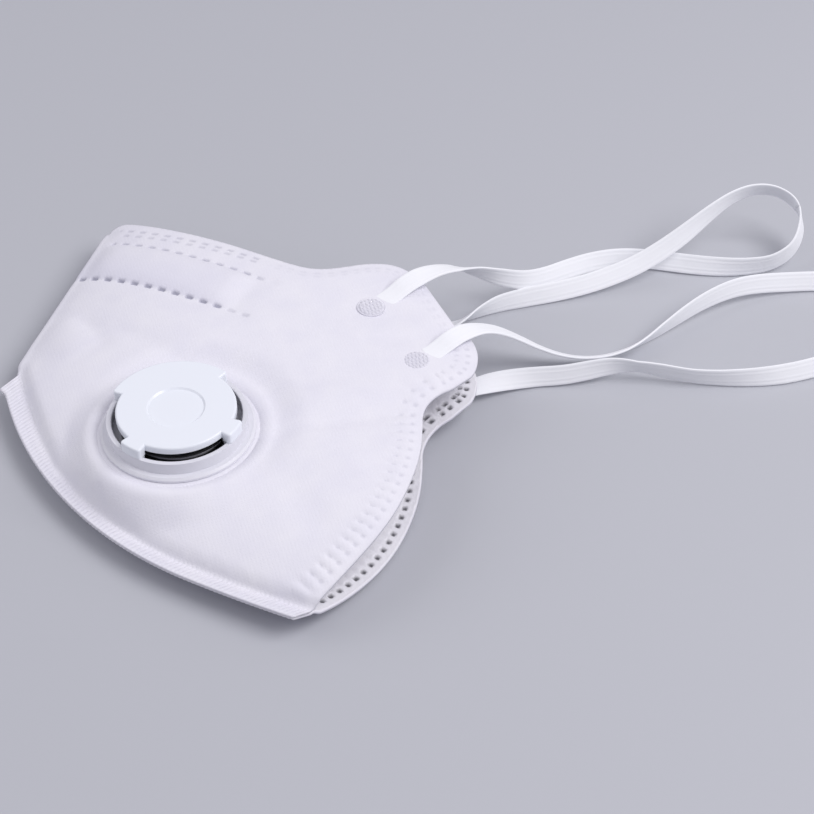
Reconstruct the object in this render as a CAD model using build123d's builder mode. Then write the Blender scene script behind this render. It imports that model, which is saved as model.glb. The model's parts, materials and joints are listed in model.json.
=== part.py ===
from build123d import *
from math import atan2, cos, exp, hypot, log, pi, radians, sin, tan
import os

# Flat-fold disposable dust mask, folded, lying on its left half with the valve up.
# Millimetres. +Z up, +Y from the chin corner to the nose corner, +X from the tip of the
# nose ridge to the ear lobes. The origin is under the middle of the folded mask, on the table.

# ---------------------------------------------------------------- driving dimensions
half_width = 64.2  # from the middle to the chin seam, and to the ear lobes
half_height = 83.9  # from the middle to the rounded nose corner, and to the chin corner
nose_corner = (-14.0, half_height + 2.4)
ridge_tip = (6.2 - half_width, half_height - 50.1)  # where the nose ridge meets the chin seam
nose_rounding = 4.0

# chin seam: two arcs that meet without a kink
seam_upper_radius = 119.0
seam_lower_radius = 416.0
seam_centre_y = half_height - 67.4
seam_handover = 220.0  # bearing of the joint of the two arcs, degrees
seam_width = 3.4
seam_thickness = 1.2
seam_height = 5.6  # height of the seam plane above the table at the seam's outer edge
seam_slope = 0.045  # rise of the seam plane towards the ears
seam_gap = 0.2  # between the welded band and the panels beside it

# puffed shape of each half
puff = 11.0  # how far a half stands off the seam plane at most
puff_reach = 22.0  # how fast it gets there, going in from ridge and seam
puff_corner = 3.0  # how broadly the ridge side and the seam side run together
puff_overrun = 12.0  # the slope runs on this far past the outline
rim_flattening = 0.5  # share of the puff that is lost at the ear lobes
left_lobe_lift = 4.0  # the left lobes curl up off the table
left_lobe_lift_start = half_width - 42.2
left_lobe_lift_length = 34.0
floor_softness = 0.7  # how gently the left half flattens where it lies on the table

# layers of each half, from the inside out
fold_gap = 0.2  # from the seam plane to the inner lining, at the ridge
lining_thickness = 0.35
media_thickness = 0.9
cover_thickness = 0.45
layer_gap = 0.15

# nose pocket: foam strip and bendable clip between the filter media and the outer cover
pocket_bearing = -49.5  # direction of the strip, degrees
pocket_offset = 18.4  # from the nose corner to the strip's middle line
pocket_half_width = 10.0
pocket_flank = 7.0
pocket_end = 59.0  # from the nose corner, along the strip
pocket_end_flank = 8.0
foam_width = 10.0
foam_thickness = 1.2
clip_width = 5.0
clip_thickness = 0.5
strip_inset = 0.6  # strip ends stop this far short of the ridge
foam_end = 51.0
clip_end = 49.0

# exhalation valve
valve_centre = (40.2 - half_width, -14.9)
valve_slope = (0.016, -0.03)  # rise of the valve's seat along x and y
valve_seat_drop = 0.8  # the seat lies this far below the puffed shape
valve_flat_radius = 24.6  # the fabric lies flat under the flange out to here
valve_flat_offset = 2.0  # the flat is off the valve's centre, towards the ears
valve_flat_blend = 9.5
valve_clearance = 0.15
flange_radius = 21.4
flange_thickness = 1.2
ring_outer_radius = 19.4
ring_wall = 1.5
ring_height = 5.0
ring_edge_rounding = 0.4
barrel_outer_radius = 14.2
barrel_wall = 1.2
barrel_lip = 0.5
barrel_lip_height = 0.6
panel_hole_clearance = 0.4
seat_width = 1.0
seat_height = 2.9
spoke_count = 4
spoke_width = 1.4
spoke_thickness = 1.4
hub_radius = 2.6
pin_radius = 1.1
pin_top = 4.5
diaphragm_overlap = 0.6
diaphragm_thickness = 0.5
diaphragm_lift = 1.2
outlet_height = 1.2
cap_radius = 16.6
cap_thickness = 2.1
cap_edge_rounding = 0.6
cap_corner_rounding = 0.9
cap_recess_radius = 8.1
cap_recess_depth = 0.5
cap_boss_radius = 1.9
cap_back_bearing = 82.0  # middle of the closed back of the cap, degrees
cap_back_half_angle = 56.0
cap_tab_offset = 130.5  # bearing of each snap tab from the closed back
cap_tab_half_angle = 10.5
tongue_depth = 2.2
tongue_thickness = 0.9
tongue_inset = 1.0  # degrees, from each end of its wall
backing_ring_radius = 19.0
backing_ring_thickness = 1.0

# head straps, flat knitted elastic, each end welded to an ear lobe
strap_width = 6.0
strap_thickness = 0.9
weld_radius = 4.1
weld_height = 0.6
upper_weld = (half_width - 22.1, half_height - 72.8)
lower_weld = (half_width - 18.0, 69.0 - half_height)
weld_lift = 0.15  # bond line between weld spot and cover
radius_share = 0.45

section_pitch = 5.0  # spacing of the sections that shape a fabric sheet
section_margin = 6.0  # the sections reach this far past the outline
outline_depth = 60.0  # more than the height of anything on the mask

# ---------------------------------------------------------------- derived values
stack = lining_thickness + media_thickness + cover_thickness + 2 * layer_gap
media_level = lining_thickness + layer_gap
cover_level = media_level + media_thickness + layer_gap
pocket_rise = foam_thickness + clip_thickness + 4 * layer_gap

seam_centre = (seam_upper_radius - half_width, seam_centre_y)
handover = radians(seam_handover)
seam_joint = (
    seam_centre[0] + seam_upper_radius * cos(handover),
    seam_centre[1] + seam_upper_radius * sin(handover),
)
lower_centre = (
    seam_joint[0] - seam_lower_radius * cos(handover),
    seam_joint[1] - seam_lower_radius * sin(handover),
)
ridge_length = hypot(nose_corner[0] - ridge_tip[0], nose_corner[1] - ridge_tip[1])
ridge_direction = (
    (nose_corner[0] - ridge_tip[0]) / ridge_length,
    (nose_corner[1] - ridge_tip[1]) / ridge_length,
)
pocket_along = (cos(radians(pocket_bearing)), sin(radians(pocket_bearing)))
pocket_across = (pocket_along[1], -pocket_along[0])


def smooth(t):
    """0 below 0, 1 above 1, and an even S between."""
    t = max(0.0, min(1.0, t))
    return t * t * (3 - 2 * t)


def seam_plane_z(x, y):
    """Height of the plane that holds the nose ridge and the chin seam."""
    return seam_height + seam_slope * (x + half_width)


def inside_seam(x, y):
    """Distance in from the inner edge of the welded band, negative outside it."""
    bearing = atan2(y - seam_centre[1], x - seam_centre[0]) % (2 * pi)
    if bearing < handover:
        edge = seam_upper_radius - hypot(x - seam_centre[0], y - seam_centre[1])
    else:
        edge = seam_lower_radius - hypot(x - lower_centre[0], y - lower_centre[1])
    return edge - seam_width


def inside_ridge(x, y):
    """Distance in from the nose ridge, negative outside it."""
    return (x - ridge_tip[0]) * ridge_direction[1] - (y - ridge_tip[1]) * ridge_direction[0]


def puffed(x, y):
    """How far the inside face of a half stands off the seam plane."""
    seam_share = exp(-inside_seam(x, y) / puff_corner)
    ridge_share = exp(-inside_ridge(x, y) / puff_corner)
    share = seam_share + ridge_share - seam_share * ridge_share
    if max(seam_share, ridge_share) > 1:
        share = 1 + abs((1 - seam_share) * (1 - ridge_share))
    depth = max(-puff_overrun, -puff_corner * log(share))
    outward = max(0.0, (x + half_width) / (2 * half_width))
    rise = 1 - exp(-depth / puff_reach) if depth > 0 else depth / puff_reach
    return puff * rise * (1 - rim_flattening * outward**2)


def pocket_bulge(x, y):
    """How far the outer cover stands out over the nose foam and clip."""
    dx, dy = x - nose_corner[0], y - nose_corner[1]
    along = dx * pocket_along[0] + dy * pocket_along[1]
    across = dx * pocket_across[0] + dy * pocket_across[1] - pocket_offset
    side = smooth((pocket_half_width - abs(across)) / pocket_flank)
    end = smooth((pocket_end - along) / pocket_end_flank)
    return pocket_rise * side * end


def right_free(x, y):
    """Inside face of the right half, before the valve flattens it."""
    return seam_plane_z(x, y) + fold_gap + puffed(x, y)


valve_inside_z = right_free(*valve_centre) - valve_seat_drop


def right_inside(x, y):
    """Inside face of the right half."""
    dx, dy = x - valve_centre[0], y - valve_centre[1]
    flat = valve_inside_z + valve_slope[0] * dx + valve_slope[1] * dy
    away = hypot(dx - valve_flat_offset, dy)
    share = smooth((valve_flat_radius + valve_flat_blend - away) / valve_flat_blend)
    return right_free(x, y) * (1 - share) + flat * share


def left_skin(x, y):
    """Outer face of the left half, which flattens where it lies on the table."""
    lift = left_lobe_lift * smooth((x - left_lobe_lift_start) / left_lobe_lift_length)
    free = seam_plane_z(x, y) - fold_gap - puffed(x, y) - stack - pocket_bulge(x, y) + lift
    return floor_softness * log(1 + exp(free / floor_softness))


def right_cover_inner(x, y):
    return right_inside(x, y) + cover_level + pocket_bulge(x, y)


def right_cover_outer(x, y):
    return right_cover_inner(x, y) + cover_thickness


def left_media_bottom(x, y):
    return left_skin(x, y) + pocket_bulge(x, y) + cover_thickness + layer_gap


def left_lining_bottom(x, y):
    return left_media_bottom(x, y) + media_thickness + layer_gap


# ---------------------------------------------------------------- outlines
# set in from the ears, and from the height of the nose or the chin
ear_top = (half_width - 3.8, half_height - 65.9)
ear_bottom = (half_width - 2.2, 78.9 - half_height)
lobe_end = (half_width - 0.1, 68.9 - half_height)
lobe_under = (half_width - 5.6, 58.4 - half_height)
neck_start = (half_width - 13.2, 55.2 - half_height)
neck_middle = (half_width - 21.6, 51.6 - half_height)
neck_end = (half_width - 25.4, 45.4 - half_height)
# share of the way from the neck to the chin, and how far out from that straight line
rim_fall = [(0.14985, 4.098), (0.32387, 6.695), (0.5318, 7.461), (0.74766, 5.273), (0.91732, 1.988)]
top_rim = [
    (nose_corner[0] + 11.4, half_height - 12.0),
    (nose_corner[0] + 28.0, half_height - 31.0),
    (half_width - 37.9, half_height - 45.2),
    (half_width - 32.2, half_height - 50.0),
    (half_width - 25.7, half_height - 52.2),
    (half_width - 17.2, half_height - 53.4),
    (half_width - 9.0, half_height - 57.0),
]
chin_end_y = -half_height
seam_low_y = (seam_joint[1] + chin_end_y) / 2  # half-way down the lower arc


def on_seam(radius_loss, bearing_degrees):
    """Point on the upper seam arc, moved in by radius_loss."""
    r = seam_upper_radius - radius_loss
    a = radians(bearing_degrees)
    return (seam_centre[0] + r * cos(a), seam_centre[1] + r * sin(a))


def lower_point(radius_loss, y):
    """Point on the lower seam arc at height y, moved in by radius_loss."""
    r = seam_lower_radius - radius_loss
    return (lower_centre[0] - (r**2 - (y - lower_centre[1]) ** 2) ** 0.5, y)


taper_end_bearing = 191.5
taper_middle_bearing = 181.5
taper_middle_width = 5.0
seam_tip_bearing = 172.9
inner_joint = on_seam(seam_width, seam_handover)
inner_chin = lower_point(seam_width, chin_end_y)
rim_line = Vector(inner_chin) - Vector(neck_end)
rim_points = [
    Vector(neck_end) + rim_line * share + rim_line.normalized().rotate(Axis.Z, 90) * bow
    for share, bow in rim_fall
]
outer_chin = lower_point(0, chin_end_y)

with BuildSketch() as half_outline:
    with BuildLine():
        Line(ridge_tip, nose_corner)
        Spline(nose_corner, *top_rim, ear_top)
        Line(ear_top, ear_bottom)
        ThreePointArc(ear_bottom, lobe_end, lobe_under)
        Line(lobe_under, neck_start)
        ThreePointArc(neck_start, neck_middle, neck_end)
        Spline(neck_end, *rim_points, inner_chin)
        ThreePointArc(inner_chin, lower_point(seam_width, seam_low_y), inner_joint)
        ThreePointArc(inner_joint, on_seam(seam_width, 205), on_seam(seam_width, taper_end_bearing))
        ThreePointArc(
            on_seam(seam_width, taper_end_bearing),
            on_seam(taper_middle_width, taper_middle_bearing),
            ridge_tip,
        )
    make_face()
    fillet(half_outline.vertices().sort_by(Axis.Y)[-1], nose_rounding)

seam_inner = seam_width - seam_gap  # the welded band stops just short of the panels
band_joint = on_seam(seam_inner, seam_handover)
band_chin = lower_point(seam_inner, chin_end_y)
band_taper_end = on_seam(seam_inner, taper_end_bearing)
band_tip = (ridge_tip[0] - seam_gap, ridge_tip[1])
seam_tip = on_seam(0, seam_tip_bearing)

with BuildSketch() as seam_outline:
    with BuildLine():
        Line(band_tip, seam_tip)
        ThreePointArc(seam_tip, on_seam(0, 196), on_seam(0, seam_handover))
        ThreePointArc(on_seam(0, seam_handover), lower_point(0, seam_low_y), outer_chin)
        Line(outer_chin, band_chin)
        ThreePointArc(band_chin, lower_point(seam_inner, seam_low_y), band_joint)
        ThreePointArc(band_joint, on_seam(seam_inner, 205), band_taper_end)
        ThreePointArc(
            band_taper_end, on_seam(taper_middle_width - seam_gap, taper_middle_bearing), band_tip
        )
    make_face()


def strip_point(along, across):
    """Plan point on the nose strip, from the nose corner."""
    return (
        nose_corner[0] + along * pocket_along[0] + (pocket_offset + across) * pocket_across[0],
        nose_corner[1] + along * pocket_along[1] + (pocket_offset + across) * pocket_across[1],
    )


def strip_start(across):
    """Where a line along the strip comes strip_inset inside the nose ridge."""
    far = inside_ridge(*strip_point(foam_end, across))
    farther = inside_ridge(*strip_point(2 * foam_end, across))
    return foam_end + (strip_inset - far) * foam_end / (farther - far)


def strip_outline(width, end):
    """Outline of a nose strip: a straight band that stops short of the ridge."""
    with BuildSketch() as strip:
        with BuildLine():
            Polyline(
                strip_point(strip_start(-width / 2), -width / 2),
                strip_point(end, -width / 2),
                strip_point(end, width / 2),
                strip_point(strip_start(width / 2), width / 2),
                close=True,
            )
        make_face()
    return strip.sketch


# ---------------------------------------------------------------- fabric sheets
def spread(reach):
    """Even values from a margin before -reach to a margin past it, section_pitch apart."""
    count = 2 * int((reach + section_margin) / section_pitch) + 1
    return [(2 * i / (count - 1) - 1) * (reach + section_margin) for i in range(count)]


def sheet(height, thickness, outline):
    """A layer of even thickness standing on height(x, y), cut to the outline."""
    with BuildPart() as layer:
        for y in spread(half_height):
            with BuildSketch(Plane(origin=(0, y, 0), x_dir=(1, 0, 0), z_dir=(0, -1, 0))):
                with BuildLine():
                    low = Spline(*[(x, height(x, y)) for x in spread(half_width)])
                    high = Spline(*[(x, height(x, y) + thickness) for x in spread(half_width)])
                    Line(low @ 0, high @ 0)
                    Line(low @ 1, high @ 1)
                make_face()
        loft(ruled=True)
        extrude(outline, amount=outline_depth, mode=Mode.INTERSECT)
    return layer


def raised(height, lift):
    """The same surface, lifted."""
    return lambda x, y: height(x, y) + lift


parts = {}
right_layers = {
    "right_inner_lining": (right_inside, lining_thickness),
    "right_filter_media": (raised(right_inside, media_level), media_thickness),
    "right_outer_cover": (right_cover_inner, cover_thickness),
}
valve_cover_z = right_cover_outer(*valve_centre)
valve_plane = Plane(
    origin=(valve_centre[0], valve_centre[1], valve_cover_z),
    x_dir=(1, 0, valve_slope[0]),
    z_dir=(-valve_slope[0], -valve_slope[1], 1),
)
for name, (height, thickness) in right_layers.items():
    with BuildPart() as layer:
        add(sheet(height, thickness, half_outline.sketch).part)
        with BuildSketch(valve_plane):
            Circle(barrel_outer_radius + panel_hole_clearance)
        extrude(amount=10, both=True, mode=Mode.SUBTRACT)
    parts[name] = layer.part

left_layers = {
    "left_outer_cover": (left_skin, cover_thickness),
    "left_filter_media": (left_media_bottom, media_thickness),
    "left_inner_lining": (left_lining_bottom, lining_thickness),
}
for name, (height, thickness) in left_layers.items():
    parts[name] = sheet(height, thickness, half_outline.sketch).part

# nose strips: on the right half the foam lies on the media with the clip above it,
# and on the left half it is the other way up
foam_outline = strip_outline(foam_width, foam_end)
clip_outline = strip_outline(clip_width, clip_end)
foam_lift = cover_level
clip_lift = foam_lift + foam_thickness + layer_gap
left_clip_lift = cover_thickness + layer_gap
left_foam_lift = left_clip_lift + clip_thickness + layer_gap
parts["right_nose_foam"] = sheet(raised(right_inside, foam_lift), foam_thickness, foam_outline).part
parts["right_nose_clip"] = sheet(raised(right_inside, clip_lift), clip_thickness, clip_outline).part


def left_pocket_top(x, y):
    """Face of the left media that the strips lie against, measured from the outside."""
    return left_media_bottom(x, y) - layer_gap - pocket_rise


parts["left_nose_clip"] = sheet(
    raised(left_pocket_top, 2 * layer_gap), clip_thickness, clip_outline
).part
parts["left_nose_foam"] = sheet(
    raised(left_pocket_top, 3 * layer_gap + clip_thickness), foam_thickness, foam_outline
).part

# ---------------------------------------------------------------- chin seam
seam_plane = Plane(
    origin=(-half_width, 0, seam_height), x_dir=(1, 0, seam_slope), z_dir=(-seam_slope, 0, 1)
)
with BuildPart() as chin_seam:
    extrude(seam_outline.sketch, amount=60)
    with BuildSketch(seam_plane):
        Rectangle(6 * half_width, 6 * half_height)
    extrude(amount=seam_thickness / 2, both=True, mode=Mode.INTERSECT)
parts["chin_seam"] = chin_seam.part


# ---------------------------------------------------------------- exhalation valve
def valve_level(z):
    """Plane across the valve's axis, z above the outer cover."""
    return valve_plane.offset(z)


def ring_sector(inner, outer, middle, half_angle):
    """Part of a flat ring, half_angle to each side of the middle bearing."""
    with BuildSketch() as sector:
        with BuildLine():
            a = CenterArc((0, 0), outer, middle - half_angle, 2 * half_angle)
            b = CenterArc((0, 0), inner, middle - half_angle, 2 * half_angle)
            Line(a @ 0, b @ 0)
            Line(a @ 1, b @ 1)
        make_face()
    return sector.sketch


barrel_inner_radius = barrel_outer_radius - barrel_wall
panel_depth = stack + valve_clearance
barrel_bottom = -(panel_depth + backing_ring_thickness + 2 * valve_clearance + barrel_lip_height)
with BuildPart() as valve_base:
    with BuildSketch(valve_level(valve_clearance)):
        Circle(flange_radius)
        Circle(barrel_inner_radius, mode=Mode.SUBTRACT)
    extrude(amount=flange_thickness)
    chamfer(
        valve_base.edges().filter_by(GeomType.CIRCLE).sort_by(SortBy.RADIUS)[-2:].sort_by(Axis.Z)[-1],
        flange_thickness * 0.5,
    )
    with BuildSketch(valve_level(valve_clearance)):
        Circle(ring_outer_radius)
        Circle(ring_outer_radius - ring_wall, mode=Mode.SUBTRACT)
    extrude(amount=ring_height - valve_clearance)
    fillet(
        valve_base.edges().filter_by(GeomType.CIRCLE).group_by(Axis.Z)[-1].sort_by(SortBy.RADIUS)[-1],
        ring_edge_rounding,
    )
    with BuildSketch(valve_level(barrel_bottom)):
        Circle(barrel_outer_radius)
        Circle(barrel_inner_radius, mode=Mode.SUBTRACT)
    extrude(amount=seat_height - barrel_bottom)
    with BuildSketch(valve_level(barrel_bottom)):
        Circle(barrel_outer_radius + barrel_lip)
        Circle(barrel_inner_radius, mode=Mode.SUBTRACT)
    extrude(amount=barrel_lip_height)
    with BuildSketch(valve_level(seat_height - diaphragm_thickness - spoke_thickness)):
        with PolarLocations(barrel_inner_radius / 2, spoke_count):
            Rectangle(barrel_inner_radius + barrel_wall / 2, spoke_width)
        Circle(hub_radius)
    extrude(amount=spoke_thickness)
    with BuildSketch(valve_level(seat_height - diaphragm_thickness - spoke_thickness)):
        Circle(pin_radius)
    extrude(amount=pin_top - (seat_height - diaphragm_thickness - spoke_thickness))
parts["valve_base"] = valve_base.part

with BuildPart() as valve_backing_ring:
    with BuildSketch(valve_level(-panel_depth - backing_ring_thickness)):
        Circle(backing_ring_radius)
        Circle(barrel_outer_radius + valve_clearance, mode=Mode.SUBTRACT)
    extrude(amount=backing_ring_thickness)
parts["valve_backing_ring"] = valve_backing_ring.part

diaphragm_bottom = seat_height + valve_clearance / 2
with BuildPart() as valve_diaphragm:
    with BuildSketch(valve_level(diaphragm_bottom)):
        Circle(barrel_outer_radius + diaphragm_overlap)
        Circle(pin_radius + valve_clearance, mode=Mode.SUBTRACT)
    extrude(amount=diaphragm_thickness)
parts["valve_diaphragm"] = valve_diaphragm.part

cap_bottom = ring_height + outlet_height
cap_top = cap_bottom + cap_thickness
cap_walls = [
    (cap_back_bearing, cap_back_half_angle),
    (cap_back_bearing + cap_tab_offset, cap_tab_half_angle),
    (cap_back_bearing - cap_tab_offset, cap_tab_half_angle),
]
ring_inner_radius = ring_outer_radius - ring_wall
tongue_radius = ring_inner_radius - valve_clearance
wall_inner_radius = tongue_radius - tongue_thickness
wall_bottom = ring_height + valve_clearance / 2
with BuildPart() as valve_cover:
    with BuildSketch(valve_level(wall_bottom)) as cap_outline:
        Circle(cap_radius)
        for middle, half_angle in cap_walls:
            add(ring_sector(cap_radius / 2, ring_outer_radius, middle, half_angle))
        corners = [v for v in cap_outline.vertices() if hypot(v.X, v.Y) > (cap_radius + ring_outer_radius) / 2]
        fillet(corners, cap_corner_rounding)
    extrude(amount=cap_top - wall_bottom)
    fillet(valve_cover.faces().sort_by(Axis.Z)[-1].edges(), cap_edge_rounding)
    with BuildSketch(valve_level(wall_bottom)):
        Circle(wall_inner_radius)
    extrude(amount=cap_bottom - wall_bottom, mode=Mode.SUBTRACT)
    for middle, half_angle in cap_walls:
        with BuildSketch(valve_level(ring_height - tongue_depth)):
            add(ring_sector(wall_inner_radius, tongue_radius, middle, half_angle - tongue_inset))
        extrude(amount=tongue_depth + cap_thickness / 2)
    with BuildSketch(valve_level(cap_top)):
        Circle(cap_recess_radius)
    extrude(amount=-cap_recess_depth, taper=45, mode=Mode.SUBTRACT)
    with BuildSketch(valve_level(diaphragm_bottom + diaphragm_thickness + diaphragm_lift + valve_clearance)):
        Circle(cap_boss_radius)
    extrude(
        amount=cap_bottom
        - (diaphragm_bottom + diaphragm_thickness + diaphragm_lift + valve_clearance)
        + cap_thickness / 2
    )
parts["valve_cover"] = valve_cover.part


# ---------------------------------------------------------------- strap welds
probe = 1.0  # half the step over which a surface's slope is taken


def tangent_plane(height, centre, lift, outward):
    """Plane that touches height(x, y) at centre, lifted by lift, facing up (1) or down (-1)."""
    x, y = centre
    slope_x = (height(x + probe, y) - height(x - probe, y)) / (2 * probe)
    slope_y = (height(x, y + probe) - height(x, y - probe)) / (2 * probe)
    return Plane(
        origin=(x, y, height(x, y) + lift * outward),
        x_dir=(1, 0, slope_x),
        z_dir=(-slope_x * outward, -slope_y * outward, outward),
    )


def weld_spot(height, centre, outward):
    """Round weld spot on the outer cover."""
    with BuildPart() as spot:
        with BuildSketch(tangent_plane(height, centre, weld_lift, outward)):
            Circle(weld_radius)
        extrude(amount=weld_height)
    return spot.part


for name, centre in (("upper", upper_weld), ("lower", lower_weld)):
    parts[f"{name}_right_weld"] = weld_spot(right_cover_outer, centre, 1)
    parts[f"{name}_left_weld"] = weld_spot(left_skin, centre, -1)


# ---------------------------------------------------------------- head straps
# each strap runs from the weld on the right half, out in a loop, and back to the weld below
# it on the left half; the ends lie flat on the lobes and the loop stands on its edge
upper_right_end = [
    (46.4, 12.4, 20.8),
    (52.1, 14.4, 21.4),
    (58.2, 16.2, 21.8),
    (64.6, 17.6, 21.5),
    (71.1, 18.6, 19.9),
    (77.6, 19.1, 16.6),
]
upper_loop = [
    (78.0, 19.1, 16.4),
    (86.0, 18.7, 11.6),
    (94.0, 19.0, 8.0),
    (102.0, 20.8, 5.8),
    (110.0, 23.2, 4.4),
    (118.5, 24.8, 3.5),
    (127.5, 24.0, 3.2),
    (136.4, 19.9, 3.2),
    (144.5, 14.6, 3.2),
    (153.0, 9.5, 3.2),
    (161.5, 5.6, 3.3),
    (170.0, 3.2, 4.0),
    (177.6, 4.2, 6.4),
    (182.6, 8.8, 10.0),
    (183.8, 14.3, 14.0),
    (180.0, 19.4, 17.2),
    (172.5, 22.0, 18.8),
    (164.0, 21.3, 18.3),
    (155.0, 18.7, 16.2),
    (146.0, 16.3, 12.8),
    (137.5, 15.2, 9.4),
    (129.0, 14.8, 6.6),
    (120.0, 14.9, 4.8),
    (111.0, 15.2, 3.8),
    (102.0, 15.9, 3.3),
    (93.0, 16.8, 3.2),
    (84.5, 16.8, 3.3),
    (76.5, 14.6, 3.8),
    (69.4, 11.9, 4.4),
]
upper_left_end = [
    (68.4, 11.7, 4.3),
    (63.5, 11.4, 3.8),
    (57.5, 11.2, 3.2),
    (51.8, 11.2, 2.8),
    (46.4, 11.1, 2.5),
]
lower_right_end = [
    (50.4, -13.8, 20.7),
    (56.2, -12.0, 21.2),
    (62.2, -10.0, 21.1),
    (68.4, -8.4, 19.4),
    (74.6, -7.5, 15.8),
]
lower_loop = [
    (75.0, -7.5, 15.6),
    (81.1, -8.2, 11.0),
    (86.8, -10.4, 7.2),
    (92.4, -13.0, 4.8),
    (98.4, -15.2, 3.6),
    (104.6, -16.4, 3.2),
    (111.0, -16.2, 3.2),
    (117.6, -14.7, 3.3),
    (125.0, -12.3, 4.0),
    (132.5, -9.8, 5.0),
    (140.0, -7.5, 5.8),
    (147.5, -5.7, 6.0),
    (155.0, -4.6, 5.6),
    (162.5, -4.5, 4.6),
    (170.0, -5.3, 3.6),
    (178.0, -7.3, 3.2),
    (186.5, -10.6, 3.2),
    (193.5, -15.8, 3.2),
    (197.0, -23.0, 3.2),
    (195.0, -30.8, 3.2),
    (188.5, -36.6, 3.2),
    (180.0, -40.0, 3.2),
    (170.5, -41.7, 3.2),
    (160.5, -42.2, 3.2),
    (151.0, -41.7, 3.2),
    (142.0, -40.0, 3.2),
    (133.0, -37.1, 3.2),
    (125.0, -33.4, 3.3),
    (117.6, -28.8, 4.0),
    (111.0, -25.2, 5.0),
    (104.0, -22.6, 5.2),
    (97.0, -21.2, 4.5),
    (90.0, -19.5, 3.6),
    (83.0, -17.0, 3.2),
    (76.0, -15.7, 3.4),
    (70.0, -15.5, 3.9),
]
lower_left_end = [
    (69.2, -15.4, 3.9),
    (65.0, -15.5, 3.8),
    (60.2, -15.5, 3.6),
    (55.4, -15.3, 3.5),
    (50.5, -14.9, 3.5),
]


def corner_radii(points):
    """Largest radius that each corner's two runs allow."""
    radii = []
    for a, b, c in zip(points, points[1:], points[2:]):
        back, ahead = Vector(*b) - Vector(*a), Vector(*c) - Vector(*b)
        half_turn = radians(back.get_angle(ahead) / 2)
        radii.append(radius_share * min(back.length, ahead.length) / tan(half_turn))
    return radii


def ribbon(points, upright):
    """Flat elastic along points, standing on its edge or lying flat."""
    radii = corner_radii(points)
    with BuildPart() as strap:
        with BuildLine() as line:
            FilletPolyline(*points, radius=radii)
        route = line.wires()[0]
        ahead = route % 0
        with BuildSketch(Plane(origin=route @ 0, x_dir=Vector(0, 0, 1).cross(ahead), z_dir=ahead)):
            if upright:
                Rectangle(strap_thickness, strap_width)
            else:
                Rectangle(strap_width, strap_thickness)
        sweep(path=route)
    share = strap.part.volume / (strap_thickness * strap_width * route.length)
    print(f"strap {route.length:.0f} mm, volume share {share:.3f}, least radius {min(radii):.1f}")
    print("radii", " ".join(f"{r:.0f}" for r in radii))
    return strap.part


parts["upper_strap_right_end"] = ribbon(upper_right_end, upright=False)
parts["upper_strap_loop"] = ribbon(upper_loop, upright=True)
parts["upper_strap_left_end"] = ribbon(upper_left_end, upright=False)
parts["lower_strap_right_end"] = ribbon(lower_right_end, upright=False)
parts["lower_strap_loop"] = ribbon(lower_loop, upright=True)
parts["lower_strap_left_end"] = ribbon(lower_left_end, upright=False)

os.makedirs("parts", exist_ok=True)
for name, part in parts.items():
    part.label = name
    export_step(part, f"parts/{name}.step")
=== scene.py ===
"""Dresses a folded flat-fold dust mask: fabric body, strap welds, elastic straps and valve."""
import json
import logging
import math
from dataclasses import dataclass
from enum import Enum

import bpy
import numpy as np
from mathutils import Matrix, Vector
from mathutils.geometry import delaunay_2d_cdt

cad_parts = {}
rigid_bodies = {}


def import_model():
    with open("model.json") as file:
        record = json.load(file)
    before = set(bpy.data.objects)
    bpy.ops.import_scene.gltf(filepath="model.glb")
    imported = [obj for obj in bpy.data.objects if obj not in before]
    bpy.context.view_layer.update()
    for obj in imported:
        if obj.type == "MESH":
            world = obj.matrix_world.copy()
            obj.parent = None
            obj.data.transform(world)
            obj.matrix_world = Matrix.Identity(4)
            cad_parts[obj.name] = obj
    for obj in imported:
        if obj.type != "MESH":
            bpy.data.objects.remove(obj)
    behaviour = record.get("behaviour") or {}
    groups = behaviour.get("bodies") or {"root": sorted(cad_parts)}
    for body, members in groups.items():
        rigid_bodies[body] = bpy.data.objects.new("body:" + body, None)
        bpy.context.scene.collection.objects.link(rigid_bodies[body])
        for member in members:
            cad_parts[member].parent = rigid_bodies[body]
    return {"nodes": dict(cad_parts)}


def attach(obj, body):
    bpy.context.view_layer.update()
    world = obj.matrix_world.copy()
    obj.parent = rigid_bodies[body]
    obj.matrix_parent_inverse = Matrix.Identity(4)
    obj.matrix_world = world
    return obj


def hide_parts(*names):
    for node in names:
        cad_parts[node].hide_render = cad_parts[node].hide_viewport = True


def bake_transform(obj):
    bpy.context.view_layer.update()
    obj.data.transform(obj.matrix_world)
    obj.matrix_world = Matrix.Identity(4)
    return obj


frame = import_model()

log = logging.getLogger("dust_mask")
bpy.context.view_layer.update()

MM = 0.001
POINTS_AT_ONCE = 4000
Array = np.ndarray
Pair = tuple[float, float]
Place = tuple[float, float, float]
Colour = tuple[float, float, float]


# ------------------------------------------------------------------ plane curves
def smooth(t: Array) -> Array:
    """0 below 0, 1 above 1, and an even S between."""
    t = np.clip(t, 0.0, 1.0)
    return t * t * (3 - 2 * t)


def bell(t: Array) -> Array:
    """1 at 0, and falling off evenly on both sides."""
    return np.exp(-(t**2))


def lengths(line: Array) -> Array:
    """How far along a polyline each of its points is."""
    return np.concatenate([[0.0], np.cumsum(np.linalg.norm(np.diff(line, axis=0), axis=1))])


def dash(along: Array, across: Array, length: float, width: float, soft: float = 0.6) -> Array:
    """1 in a soft-edged mark of a length and width, in mm, and 0 round it."""
    ends = smooth(((length + soft) / 2 - np.abs(along)) / soft)
    return ends * smooth(((width + soft) / 2 - np.abs(across)) / soft)


def repeated(along: Array, pitch: float, start: float = 0.0) -> Array:
    """Distance from the middle of the nearest mark, in a row that starts at a share of its pitch."""
    return ((along / pitch + start) % 1 - 0.5) * pitch


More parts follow.
